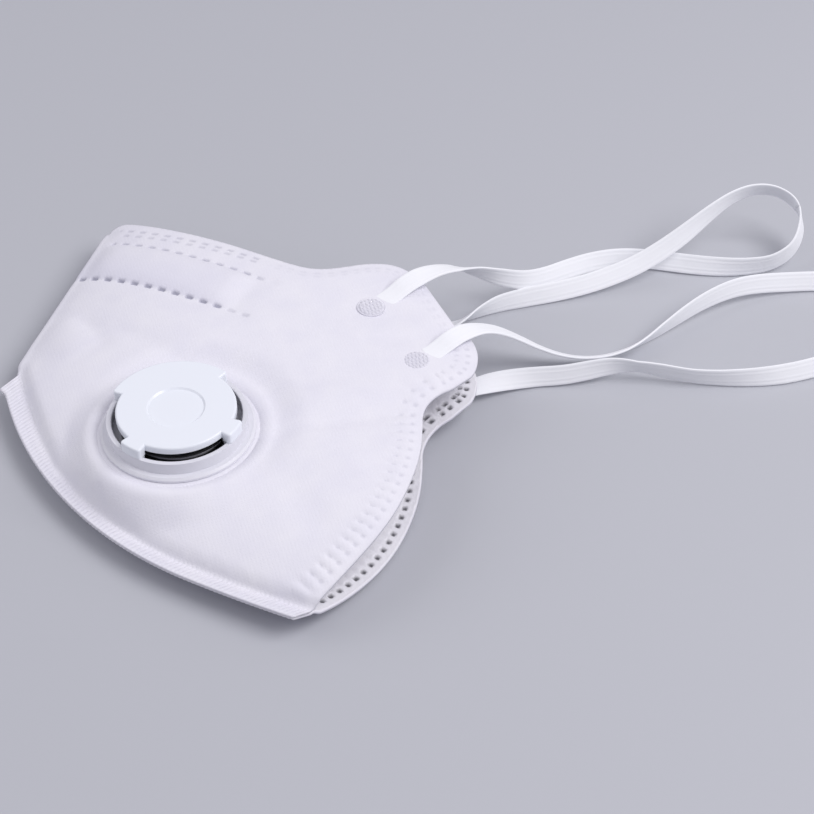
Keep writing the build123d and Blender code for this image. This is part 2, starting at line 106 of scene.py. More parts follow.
def spaced(line: Array, step: float) -> Array:
    """Points along a polyline at even steps.

    Args:
        line: the polyline's points, one row each.
        step: the spacing wanted, in the line's units.

    Returns:
        The points, both ends included.
    """
    along = lengths(line)
    count = max(2, int(round(along[-1] / step)) + 1)
    at = np.linspace(0.0, along[-1], count)
    return np.stack([np.interp(at, along, line[:, k]) for k in range(line.shape[1])], axis=1)


def spline_through(points: list[Pair], step: float) -> Array:
    """A natural cubic spline through points.

    Args:
        points: the points that it passes.
        step: the spacing of the result.

    Returns:
        Points on the spline.
    """
    p = np.array(points, float)
    n, run = len(p), np.diff(lengths(p))
    matrix, right = np.eye(n), np.zeros((n, 2))
    for i in range(1, n - 1):
        matrix[i, i - 1 : i + 2] = run[i - 1], 2 * (run[i - 1] + run[i]), run[i]
        right[i] = 6 * ((p[i + 1] - p[i]) / run[i] - (p[i] - p[i - 1]) / run[i - 1])
    bend = np.linalg.solve(matrix, right)
    out = []
    for i in range(n - 1):
        for t in np.linspace(0, 1, max(3, int(run[i] / step * 2)), endpoint=i == n - 2):
            a, b, h = 1 - t, t, run[i]
            cubic = (a**3 - a) * bend[i] + (b**3 - b) * bend[i + 1]
            out.append(a * p[i] + b * p[i + 1] + cubic * h * h / 6)
    return np.array(out)


def arc_through(a: tuple, b: tuple, c: tuple, count: int = 24) -> Array:
    """Points on the circular arc from a through b to c.

    Args:
        a: the first point.
        b: a point between.
        c: the last point.
        count: how many points.

    Returns:
        The points, both ends included.
    """
    (ax, ay), (bx, by), (cx, cy) = a, b, c
    d = 2 * (ax * (by - cy) + bx * (cy - ay) + cx * (ay - by))
    ux = ((ax**2 + ay**2) * (by - cy) + (bx**2 + by**2) * (cy - ay) + (cx**2 + cy**2) * (ay - by)) / d
    uy = ((ax**2 + ay**2) * (cx - bx) + (bx**2 + by**2) * (ax - cx) + (cx**2 + cy**2) * (bx - ax)) / d
    first, middle, last = (math.atan2(y - uy, x - ux) for x, y in (a, b, c))
    ccw = (middle - first) % (2 * math.pi) < (last - first) % (2 * math.pi)
    sweep = (last - first) % (2 * math.pi) - (0 if ccw else 2 * math.pi)
    at = first + np.linspace(0, 1, count) * sweep
    r = math.hypot(ax - ux, ay - uy)
    return np.stack([ux + r * np.cos(at), uy + r * np.sin(at)], axis=1)


def nearest(points: Array, line: Array) -> tuple[Array, Array]:
    """Distance from each point to a dense polyline, and how far along it that is.

    Args:
        points: the points, one row each.
        line: the polyline, at close steps.

    Returns:
        The distances, and the lengths along the line.
    """
    along, found = lengths(line), []
    for block in np.array_split(points, len(points) // POINTS_AT_ONCE + 1):
        gap = np.linalg.norm(block[:, None, :] - line[None, :, :], axis=2)
        found.append((gap.min(axis=1), along[gap.argmin(axis=1)]))
    return tuple(np.concatenate(column) for column in zip(*found))


# ------------------------------------------------------------------ the mask's form
@dataclass(frozen=True)
class Crease:
    """A soft wrinkle in a panel, along a line: hollow where depth is positive, mm.

    The shallow share is how much of a half wave is left out at each end, so it starts shallow.
    """

    start: Pair
    end: Pair
    depth: float
    width: float
    shallow: float = 0.15

    def drop(self, x: Array, y: Array) -> Array:
        """How far it lowers the panel at each place.

        Args:
            x: places in plan, across.
            y: places in plan, up the mask.

        Returns:
            Depths in millimetres.
        """
        a, b = np.array(self.start), np.array(self.end)
        run = b - a
        t = ((x - a[0]) * run[0] + (y - a[1]) * run[1]) / (run @ run)
        held = np.clip(t, 0, 1)
        away = np.hypot(x - a[0] - held * run[0], y - a[1] - held * run[1])
        wave = np.clip(self.shallow + (1 - 2 * self.shallow) * t, 0.02, 0.98)
        return self.depth * np.sin(np.pi * wave) * bell(away / self.width)


@dataclass(frozen=True)
class Welt:
    """A raised line, or a hollow where the height is negative, at a place across it, mm."""

    place: float
    width: float
    height: float

    def rise(self, across: Array) -> Array:
        """How far it lifts the surface at each distance across."""
        return self.height * bell((across - self.place) / self.width)


@dataclass(frozen=True)
class MaskForm:
    """Shape of the folded mask, in millimetres: its outline, seam, fold and puffed halves.

    Bearings are in degrees round the centre of the seam's upper arc, and the pocket's is
    measured from +X. The middle of the seam's taper is an inset and a bearing.
    """

    half_width: float = 64.2
    half_height: float = 83.9
    nose_corner: Pair = (-14.0, 86.3)
    ridge_tip: Pair = (-58.0, 33.8)
    nose_rounding: float = 4.9
    seam_upper_radius: float = 119.0
    seam_lower_radius: float = 416.0
    seam_centre_y: float = 16.5
    seam_handover: float = 220.0
    seam_start: float = 172.9
    taper_middle: Pair = (5.0, 181.5)
    taper_end: float = 191.5
    arc_points: int = 60
    rim_spacing: float = 0.4
    rim_smoothings: int = 6
    seam_width: float = 3.4
    seam_height: float = 5.6
    seam_slope: float = 0.045
    puff: float = 11.0
    puff_reach: float = 22.0
    puff_corner: float = 3.0
    puff_overrun: float = 12.0
    rim_flattening: float = 0.5
    lobe_lift: float = 4.0
    lobe_lift_start: float = 22.0
    lobe_lift_length: float = 34.0
    floor_softness: float = 0.7
    fold_gap: float = 0.2
    stack: float = 2.0
    band_layer: float = 0.65
    pocket_bearing: float = -49.5
    pocket_offset: float = 18.4
    pocket_half_width: float = 10.0
    pocket_flank: float = 7.0
    pocket_end: float = 59.0
    pocket_end_flank: float = 8.0
    pocket_rise: float = 1.25
    pocket_ridge_fade: float = 9.0
    valve_centre: Pair = (-24.0, -14.9)
    valve_slope: Pair = (0.016, -0.03)
    valve_seat_drop: float = 0.8
    valve_flat_radius: float = 24.6
    valve_flat_offset: float = 2.0
    valve_flat_blend: float = 9.5
    ear_top: Pair = (60.4, 18.0)
    ear_bottom: Pair = (62.0, -5.0)
    lobe_end: Pair = (64.1, -15.0)
    lobe_under: Pair = (58.6, -25.5)
    neck: tuple[Pair, ...] = ((51.0, -28.7), (42.6, -32.3), (38.8, -38.5))
    rim_fall: tuple[Pair, ...] = (
        (34.3, -48.3), (27.6, -58.1), (18.0, -68.1), (6.0, -76.3), (-4.5, -81.6),
    )
    top_rim: tuple[Pair, ...] = (
        (-2.6, 71.9), (14.0, 52.9), (26.3, 38.7), (32.0, 33.9), (38.5, 31.7), (47.0, 30.5), (55.2, 26.9),
    )

    @property
    def seam_centre(self) -> Pair:
        """Centre of the seam's upper arc."""
        return (self.seam_upper_radius - self.half_width, self.seam_centre_y)

    @property
    def lower_centre(self) -> Pair:
        """Centre of the seam's lower arc.

        Returns:
            The centre, on the line from the upper centre to the handover.
        """
        a = math.radians(self.seam_handover)
        reach = self.seam_upper_radius - self.seam_lower_radius
        return (self.seam_centre[0] + reach * math.cos(a), self.seam_centre[1] + reach * math.sin(a))

    @property
    def ridge_direction(self) -> Array:
        """Unit vector along the nose ridge, from its tip to the nose corner."""
        run = np.array(self.nose_corner) - np.array(self.ridge_tip)
        return run / np.linalg.norm(run)

    def on_seam(self, inset: float, bearing: float) -> Pair:
        """Point on the seam's upper arc, moved in by inset."""
        r, a = self.seam_upper_radius - inset, math.radians(bearing)
        return (self.seam_centre[0] + r * math.cos(a), self.seam_centre[1] + r * math.sin(a))

    def lower_seam(self, inset: float) -> Array:
        """Points down the seam's lower arc, moved in by inset, to the chin corner.

        Args:
            inset: how far in from the band's edge.

        Returns:
            The points.
        """
        r, (cx, cy) = self.seam_lower_radius - inset, self.lower_centre
        top = self.on_seam(inset, self.seam_handover)[1]
        y = np.linspace(top, -self.half_height, self.arc_points)
        return np.stack([cx - np.sqrt(r**2 - (y - cy) ** 2), y], axis=1)

    def upper_seam(self, inset: float, start: float) -> Array:
        """Points down the seam's upper arc, moved in by inset, from a bearing to the handover."""
        bearings = np.linspace(start, self.seam_handover, self.arc_points)
        return np.array([self.on_seam(inset, bearing) for bearing in bearings])

    def seam_inner(self) -> Array:
        """The line where the panels run into the welded band, from ridge tip to chin.

        Returns:
            The points, with the taper at the ridge's tip first.
        """
        w, end = self.seam_width, self.taper_end
        taper = arc_through(self.ridge_tip, self.on_seam(*self.taper_middle), self.on_seam(w, end))
        return np.concatenate([taper[:-1], self.upper_seam(w, end)[:-1], self.lower_seam(w)])

    def seam_outer(self) -> Array:
        """The band's outer edge, from ridge tip to chin."""
        return np.concatenate([self.upper_seam(0, self.seam_start)[:-1], self.lower_seam(0)])

    def ridge_end(self) -> Array:
        """Where the straight ridge gives way to the rounded nose corner."""
        return np.array(self.nose_corner) - self.nose_rounding * self.ridge_direction

    def rim(self) -> Array:
        """The open edge, from the ridge round the ear lobe to the chin.

        Returns:
            The points at even steps, with their corners smoothed.
        """
        nose = np.array(self.nose_corner)
        top = spline_through([self.nose_corner, *self.top_rim, self.ear_top], 1.0)
        past = np.linalg.norm(top - nose, axis=1) > self.nose_rounding
        top = top[past.argmax() :]
        t = np.linspace(0, 1, 9)[:-1, None]
        corner = (1 - t) ** 2 * self.ridge_end() + 2 * t * (1 - t) * nose + t**2 * top[0]
        lobe = arc_through(self.ear_bottom, self.lobe_end, self.lobe_under)
        fall = spline_through([self.neck[2], *self.rim_fall, tuple(self.seam_inner()[-1])], 1.0)
        line = np.concatenate([corner, top, lobe, arc_through(*self.neck), fall])
        even = spaced(line, self.rim_spacing)
        for _ in range(self.rim_smoothings):
            even[1:-1] = (even[:-2] + 2 * even[1:-1] + even[2:]) / 4
        return even

    def plane(self, x: Array) -> Array:
        """Height of the plane that holds the ridge and the seam."""
        return self.seam_height + self.seam_slope * (x + self.half_width)

    def inside_seam(self, x: Array, y: Array) -> Array:
        """Distance in from the welded band.

        Args:
            x: places in plan, across.
            y: places in plan, up the mask.

        Returns:
            Distances, negative on the band.
        """
        (cx, cy), (lx, ly) = self.seam_centre, self.lower_centre
        upper = np.arctan2(y - cy, x - cx) % (2 * math.pi) < math.radians(self.seam_handover)
        edge = np.where(
            upper,
            self.seam_upper_radius - np.hypot(x - cx, y - cy),
            self.seam_lower_radius - np.hypot(x - lx, y - ly),
        )
        return edge - self.seam_width

    def inside_ridge(self, x: Array, y: Array) -> Array:
        """Distance in from the nose ridge."""
        dx, dy = self.ridge_direction
        return (x - self.ridge_tip[0]) * dy - (y - self.ridge_tip[1]) * dx

    def puffed(self, x: Array, y: Array) -> Array:
        """How far the inside of a half stands off the seam plane.

        Args:
            x: places in plan, across.
            y: places in plan, up the mask.

        Returns:
            Heights above the seam plane, or below it past the outline.
        """
        s = np.exp(-self.inside_seam(x, y) / self.puff_corner)
        r = np.exp(-self.inside_ridge(x, y) / self.puff_corner)
        share = np.where(np.maximum(s, r) > 1, 1 + np.abs((1 - s) * (1 - r)), s + r - s * r)
        depth = np.maximum(-self.puff_overrun, -self.puff_corner * np.log(share))
        outward = np.maximum(0.0, (x + self.half_width) / (2 * self.half_width))
        rise = np.where(depth > 0, 1 - np.exp(-depth / self.puff_reach), depth / self.puff_reach)
        return self.puff * rise * (1 - self.rim_flattening * outward**2)

    def pocket_place(self, x: Array, y: Array) -> tuple[Array, Array]:
        """Distance along the nose pocket from the nose corner, and across from its middle line.

        Args:
            x: places in plan, across.
            y: places in plan, up the mask.

        Returns:
            Distances along, and distances across.
        """
        a = math.radians(self.pocket_bearing)
        dx, dy = x - self.nose_corner[0], y - self.nose_corner[1]
        along = dx * math.cos(a) + dy * math.sin(a)
        across = dx * math.sin(a) - dy * math.cos(a) - self.pocket_offset
        return along, across

    def from_valve(self, x: Array, y: Array) -> Array:
        """Distance from the valve's axis."""
        return np.hypot(x - self.valve_centre[0], y - self.valve_centre[1])

    def bulge(self, x: Array, y: Array) -> Array:
        """How far the outer cover stands out over the nose foam and clip.

        Args:
            x: places in plan, across.
            y: places in plan, up the mask.

        Returns:
            Heights.
        """
        along, across = self.pocket_place(x, y)
        side = smooth((self.pocket_half_width - np.abs(across)) / self.pocket_flank)
        end = smooth((self.pocket_end - along) / self.pocket_end_flank)
        return self.pocket_rise * side * end * smooth(self.inside_ridge(x, y) / self.pocket_ridge_fade)

    def right_inside(self, x: Array, y: Array) -> Array:
        """Inside face of the right half, flat under the valve.

        Args:
            x: places in plan, across.
            y: places in plan, up the mask.

        Returns:
            Heights above the table.
        """
        free = self.plane(x) + self.fold_gap + self.puffed(x, y)
        vx, vy = self.valve_centre
        middle = self.plane(vx) + self.fold_gap + self.puffed(vx, vy) - self.valve_seat_drop
        flat = middle + self.valve_slope[0] * (x - vx) + self.valve_slope[1] * (y - vy)
        away = np.hypot(x - vx - self.valve_flat_offset, y - vy)
        share = smooth((self.valve_flat_radius + self.valve_flat_blend - away) / self.valve_flat_blend)
        return free * (1 - share) + flat * share

    def left_skin(self, x: Array, y: Array) -> Array:
        """Outer face of the left half, flattened where it lies on the table.

        Args:
            x: places in plan, across.
            y: places in plan, up the mask.

        Returns:
            Heights above the table.
        """
        lift = self.lobe_lift * smooth((x - self.lobe_lift_start) / self.lobe_lift_length)
        free = self.plane(x) - self.fold_gap - self.puffed(x, y) - self.stack - self.bulge(x, y) + lift
        return self.floor_softness * np.logaddexp(0.0, free / self.floor_softness)


# ------------------------------------------------------------------ shader graphs
class Value:
    """A number on a shader socket that takes part in Python arithmetic."""

    def __init__(self, graph: "Graph", socket: bpy.types.NodeSocket) -> None:
        """Wraps a socket of the graph."""
        self.graph, self.socket = graph, socket

    def _math(self, operation: str, *values: object) -> "Value":
        """Adds a Math node over the values."""
        node = self.graph.node("ShaderNodeMath", {"operation": operation}, dict(enumerate(values)))
        return Value(self.graph, node.outputs[0])

    def __add__(self, other: object) -> "Value":
        """Sum."""
        return self._math("ADD", self, other)

    __radd__ = __add__

    def __mul__(self, other: object) -> "Value":
        """Product."""
        return self._math("MULTIPLY", self, other)

    __rmul__ = __mul__

    def __sub__(self, other: object) -> "Value":
        """Difference."""
        return self._math("SUBTRACT", self, other)

    def __rsub__(self, other: object) -> "Value":
        """Difference, with the number first."""
        return self._math("SUBTRACT", other, self)

    def __abs__(self) -> "Value":
        """Absolute value."""
        return self._math("ABSOLUTE", self)

    def sine(self) -> "Value":
        """Sine, of radians."""
        return self._math("SINE", self)

    def clipped(self) -> "Value":
        """Held between 0 and 1."""
        return self._math("MAXIMUM", self._math("MINIMUM", self, 1.0), 0.0)


class Graph:
    """The node tree of one material, with its Principled shader."""

    def __init__(self, name: str) -> None:
        """Starts an empty material.

        Args:
            name: the material's name.
        """
        self.material = bpy.data.materials.new(name)
        self.material.use_nodes = True
        self.tree = self.material.node_tree
        self.tree.nodes.clear()
        self.shader = self.node("ShaderNodeBsdfPrincipled")
        out = self.node("ShaderNodeOutputMaterial")
        self.tree.links.new(self.shader.outputs[0], out.inputs[0])

    def node(self, kind: str, settings: dict | None = None, inputs: dict | None = None) -> bpy.types.Node:
        """Adds a node.

        Args:
            kind: the node's type name.
            settings: the node's own properties, set first.
            inputs: values or links by socket name or number.

        Returns:
            The node.
        """
        node = self.tree.nodes.new(kind)
        for key, value in (settings or {}).items():
            setattr(node, key, value)
        for key, value in (inputs or {}).items():
            if isinstance(value, Value):
                self.tree.links.new(value.socket, node.inputs[key])
            else:
                node.inputs[key].default_value = value
        return node

    def read(self, node: bpy.types.Node, output: object = 0) -> Value:
        """A node's output as a value."""
        return Value(self, node.outputs[output])

    def attribute(self, name: str, output: str = "Fac") -> Value:
        """A mesh attribute."""
        return self.read(self.node("ShaderNodeAttribute", {"attribute_name": name}), output)

    def split(self, vector: Value) -> tuple[Value, Value, Value]:
        """The three parts of a vector."""
        node = self.node("ShaderNodeSeparateXYZ", inputs={0: vector})
        return tuple(self.read(node, k) for k in range(3))

    def stretched(self, vector: Value, scale: Place, turn: float = 0.0) -> Value:
        """The vector turned about Z and scaled."""
        inputs = {"Vector": vector, "Scale": scale, "Rotation": (0.0, 0.0, turn)}
        return self.read(self.node("ShaderNodeMapping", inputs=inputs))

    def noise(self, vector: Value, scale: float, detail: float = 3.0, roughness: float = 0.5) -> Value:
        """Noise from 0 to 1."""
        inputs = {"Vector": vector, "Scale": scale, "Detail": detail, "Roughness": roughness}
        return self.read(self.node("ShaderNodeTexNoise", inputs=inputs))

    def mix(self, factor: Value, first: object, second: object) -> Value:
        """Mixes two colours; tuples or values."""
        inputs = {0: factor, 6: self.rgba(first), 7: self.rgba(second)}
        return self.read(self.node("ShaderNodeMix", {"data_type": "RGBA"}, inputs), 2)

    @staticmethod
    def rgba(colour: object) -> object:
        """A colour tuple with its alpha, or the value unchanged."""
        return (*colour, 1.0) if isinstance(colour, tuple) else colour

    def finish(
        self, varying: dict, fixed: dict, height: Value | None = None, relief: float = 0.1
    ) -> bpy.types.Material:
        """Feeds the shader.

        Args:
            varying: values that change over the surface, by socket name.
            fixed: numbers and colours set on the shader's own sockets.
            height: surface height for a Bump node, 0 to 1.
            relief: how tall that height is, in millimetres.

        Returns:
            The finished material.
        """
        for key, value in varying.items():
            self.tree.links.new(value.socket, self.shader.inputs[key])
        for key, value in fixed.items():
            self.shader.inputs[key].default_value = self.rgba(value)
        if height is not None:
            inputs = {"Height": height, "Distance": relief * MM, "Strength": 1.0}
            bump = self.node("ShaderNodeBump", inputs=inputs)
            self.tree.links.new(bump.outputs[0], self.shader.inputs["Normal"])
        return self.material


@dataclass(frozen=True)
class NonwovenFinish:
    """Point-bonded nonwoven fabric."""

    name: str
    colour: Colour
    # darker colour: random tone, and the painted shade over the pocket
    shade: Colour
    # colour of the weld marks: partly their own pressed tone, partly painted shade in their pits
    pressed: Colour
    bond_pitch: float = 1.15
    relief: float = 0.07
    roughness: float = 0.80
    row_direction: Pair = (0.78, 0.62)
    column_direction: Pair = (-0.50, 0.86)

    def build(self) -> bpy.types.Material:
        """Makes the material.

        Returns:
            The material, which reads the attributes rest, press and pocket: press for the weld marks' tone
            with painted shade, pocket for the painted shade over the pocket.
        """
        g = Graph(self.name)
        rest = g.attribute("rest", "Vector")
        x, y, _ = g.split(rest)
        turn = 2 * math.pi / self.bond_pitch
        (rx, ry), (cx, cy) = self.row_direction, self.column_direction
        rows = ((x * rx + y * ry) * turn).sine()
        columns = ((y * cy + x * cx) * (turn * 0.8)).sine()
        bonds = (rows * columns).clipped()
        fibres = g.noise(g.stretched(rest, (1.0, 0.22, 1.0), 0.9), 2.6, 4.0, 0.65)
        cross = g.noise(g.stretched(rest, (0.25, 1.0, 1.0), 0.35), 2.2, 4.0, 0.65)
        cloud = g.noise(rest, 0.11, 2.0)
        height = bonds * -0.3 + fibres * 0.9 + cross * 0.6
        tone = (cloud * 1.5 - 0.35).clipped() * 0.7 + bonds * 0.06
        colour = g.mix(tone, self.colour, self.shade)
        # painted shade over the nose pocket, darkest above its lower row of marks
        colour = g.mix(g.attribute("pocket"), colour, self.shade)
        # weld marks: their own darker tone with painted shade in their pits, and painted shade in the seam
        # band's grooves and between the weld spots' cells
        press = g.attribute("press")
        colour = g.mix(press * 0.9, colour, self.pressed)
        rough = self.roughness + cross * 0.12 - press * 0.25
        fixed = {"Sheen Weight": 0.12, "Sheen Roughness": 0.5, "Specular IOR Level": 0.3}
        return g.finish({"Base Color": colour, "Roughness": rough}, fixed, height, self.relief)


@dataclass(frozen=True)
class ElasticFinish:
    """Flat knitted elastic: lengthwise ribs with a fine stitch, both of a size in mm."""

    name: str
    colour: Colour
    # colour of the painted shade in the grooves between the ribs and in the stitch holes
    groove: Colour
    rib: float = 1.2
    stitch: float = 0.85
    roughness: float = 0.62
    relief: float = 0.12

    def build(self) -> bpy.types.Material:
        """Makes the material.

        Returns:
            The material, which reads the attribute knit.
        """
        g = Graph(self.name)
        knit = g.attribute("knit", "Vector")
        u, v, _ = g.split(knit)
        wale = abs((v * (math.pi / self.rib)).sine())
        slant = abs((v * (2 * math.pi / self.rib)).sine()) * 0.5
        loops = abs(((u * (1 / self.stitch) + slant) * math.pi).sine())
        fuzz = g.noise(knit, 3.0, 4.0)
        height = wale * 0.5 + loops * 0.6 + fuzz * 0.3
        # painted shade: darker in the grooves between the ribs and in the holes between the stitches, with
        # random fuzz tone
        line, hole = 1.0 - wale, 1.0 - loops
        tone = (line * line * 0.6 + hole * hole * 0.5 + (fuzz - 0.5) * 0.3).clipped()
        colour = g.mix(tone, self.colour, self.groove)
        rough = self.roughness + fuzz * 0.2
        fixed = {"Sheen Weight": 0.2, "Sheen Roughness": 0.4, "Specular IOR Level": 0.4}
        return g.finish({"Base Color": colour, "Roughness": rough}, fixed, height, self.relief)


@dataclass(frozen=True)
class PaintedShadeCore:
    """Painted shade for the unlit inside of a hollow round an upright axis: where it is, in metres."""

    x: float
    y: float
    radius: float
    mouth: float
    colour: Colour = (0.012, 0.012, 0.015)
    rim_sharpness: float = 60000.0
    mouth_sharpness: float = 1200.0

    def tint(self, g: Graph, place: Value, colour: Value) -> Value:
        """The colour, with painted shade inside the hollow and below its mouth.

        Args:
            g: the material's graph.
            place: the object's own coordinates.
            colour: the colour round the hollow.

        Returns:
            The colour to use.
        """
        x, y, z = g.split(place)
        across, forward = x - self.x, y - self.y
        inside = self.radius**2 - across * across - forward * forward
        inside = (inside * self.rim_sharpness).clipped()
        inside = inside * ((self.mouth - z) * self.mouth_sharpness).clipped()
        return g.mix(inside, colour, self.colour)


@dataclass(frozen=True)
class MouldedFinish:
    """Moulded plastic or silicone with a fine grain, with painted shade inside its hollow if it has one."""

    name: str
    colour: Colour
    shade: Colour
    roughness: float
    grain: float
    relief: float
    coat: float = 0.0
    painted_shade_core: PaintedShadeCore | None = None

    def build(self) -> bpy.types.Material:
        """Makes the material.

        Returns:
            The material.
        """
        g = Graph(self.name)
        place = g.read(g.node("ShaderNodeTexCoord"), "Object")
        large = g.noise(place, 60.0, 2.0)
        fine = g.noise(place, self.grain, 3.0)
        colour = g.mix((large * 1.4 - 0.2).clipped(), self.colour, self.shade)
        rough = self.roughness + (fine - 0.5) * 0.10 + (large - 0.5) * 0.08
        # painted shade inside the hollow
        if self.painted_shade_core:
            colour = self.painted_shade_core.tint(g, place, colour)
        fixed = {"Coat Weight": self.coat, "Coat Roughness": 0.2}
        return g.finish({"Base Color": colour, "Roughness": rough}, fixed, fine, self.relief)


class Material(Enum):
    """The finishes of the mask's pieces."""

    # weld marks on the cover: partly their own pressed tone, partly painted shade in their pits
    COVER = NonwovenFinish(
        "cover_nonwoven", (0.86, 0.85, 0.905), (0.775, 0.765, 0.86), pressed=(0.32, 0.32, 0.41)
    )
    # near-black weld marks on the lining: mostly painted shade in their pits
    LINING = NonwovenFinish(
        "lining_nonwoven", (0.88, 0.87, 0.91), (0.83, 0.82, 0.87), pressed=(0.02, 0.02, 0.03),
        bond_pitch=1.0, relief=0.06,
    )
    # the strap's grooves and stitch holes carry painted shade
    ELASTIC = ElasticFinish("strap_elastic", (0.89, 0.88, 0.92), groove=(0.36, 0.36, 0.42))
    VALVE = MouldedFinish(
        "valve_plastic", (0.60, 0.61, 0.71), (0.585, 0.595, 0.70),
        roughness=0.55, grain=2500.0, relief=0.004, coat=0.02,
    )
    # the base's plastic, with painted shade inside the valve's hollow under the cap
    CHAMBER = MouldedFinish(
        "valve_chamber", (0.80, 0.80, 0.85), (0.78, 0.78, 0.84),
        roughness=0.42, grain=2500.0, relief=0.004, coat=0.05, painted_shade_core=PaintedShadeCore(-0.024, -0.0149, 0.0160, 0.0195),
    )
    # near black: painted shade inside the valve, seen through the gap under the cap
    SILICONE = MouldedFinish(
        "diaphragm_silicone", (0.02, 0.02, 0.022), (0.03, 0.03, 0.032),
        roughness=0.5, grain=1800.0, relief=0.006,
    )

    def built(self) -> bpy.types.Material:
        """The material, made once."""
        return bpy.data.materials.get(self.value.name) or self.value.build()


# ------------------------------------------------------------------ meshes
def placed(name: str, data: bpy.types.ID) -> bpy.types.Object:
    """Puts a mesh, a lamp or a camera into the scene.

    Args:
        name: the object's name.
        data: what it shows.

    Returns:
        The object.
    """
    piece = bpy.data.objects.new(name, data)
    bpy.context.scene.collection.objects.link(piece)
    return piece


def mesh_object(name: str, points: Array, faces: list, *materials: Material) -> bpy.types.Object:
    """Makes a smooth-shaded object.

    Args:
        name: the piece's name.
        points: vertex places in millimetres.
        faces: vertex numbers of each face.
        materials: the finishes, in slot order.

    Returns:
        The object, in the scene.
    """
    mesh = bpy.data.meshes.new(name)
    mesh.from_pydata((points * MM).tolist(), [], faces)
    mesh.polygons.foreach_set("use_smooth", [True] * len(mesh.polygons))
    for material in materials:
        mesh.materials.append(material.built())
    mesh.update()
    return placed(name, mesh)


def add_values(piece: bpy.types.Object, name: str, values: Array) -> None:
    """Stores one number, or one vector, at each vertex.

    Args:
        piece: the object.
        name: the attribute's name.
        values: a value or a row of three for each vertex.
    """
    flat = values.ndim == 1
    layer = piece.data.attributes.new(name, "FLOAT" if flat else "FLOAT_VECTOR", "POINT")
    layer.data.foreach_set("value" if flat else "vector", values.astype(np.float32).ravel())


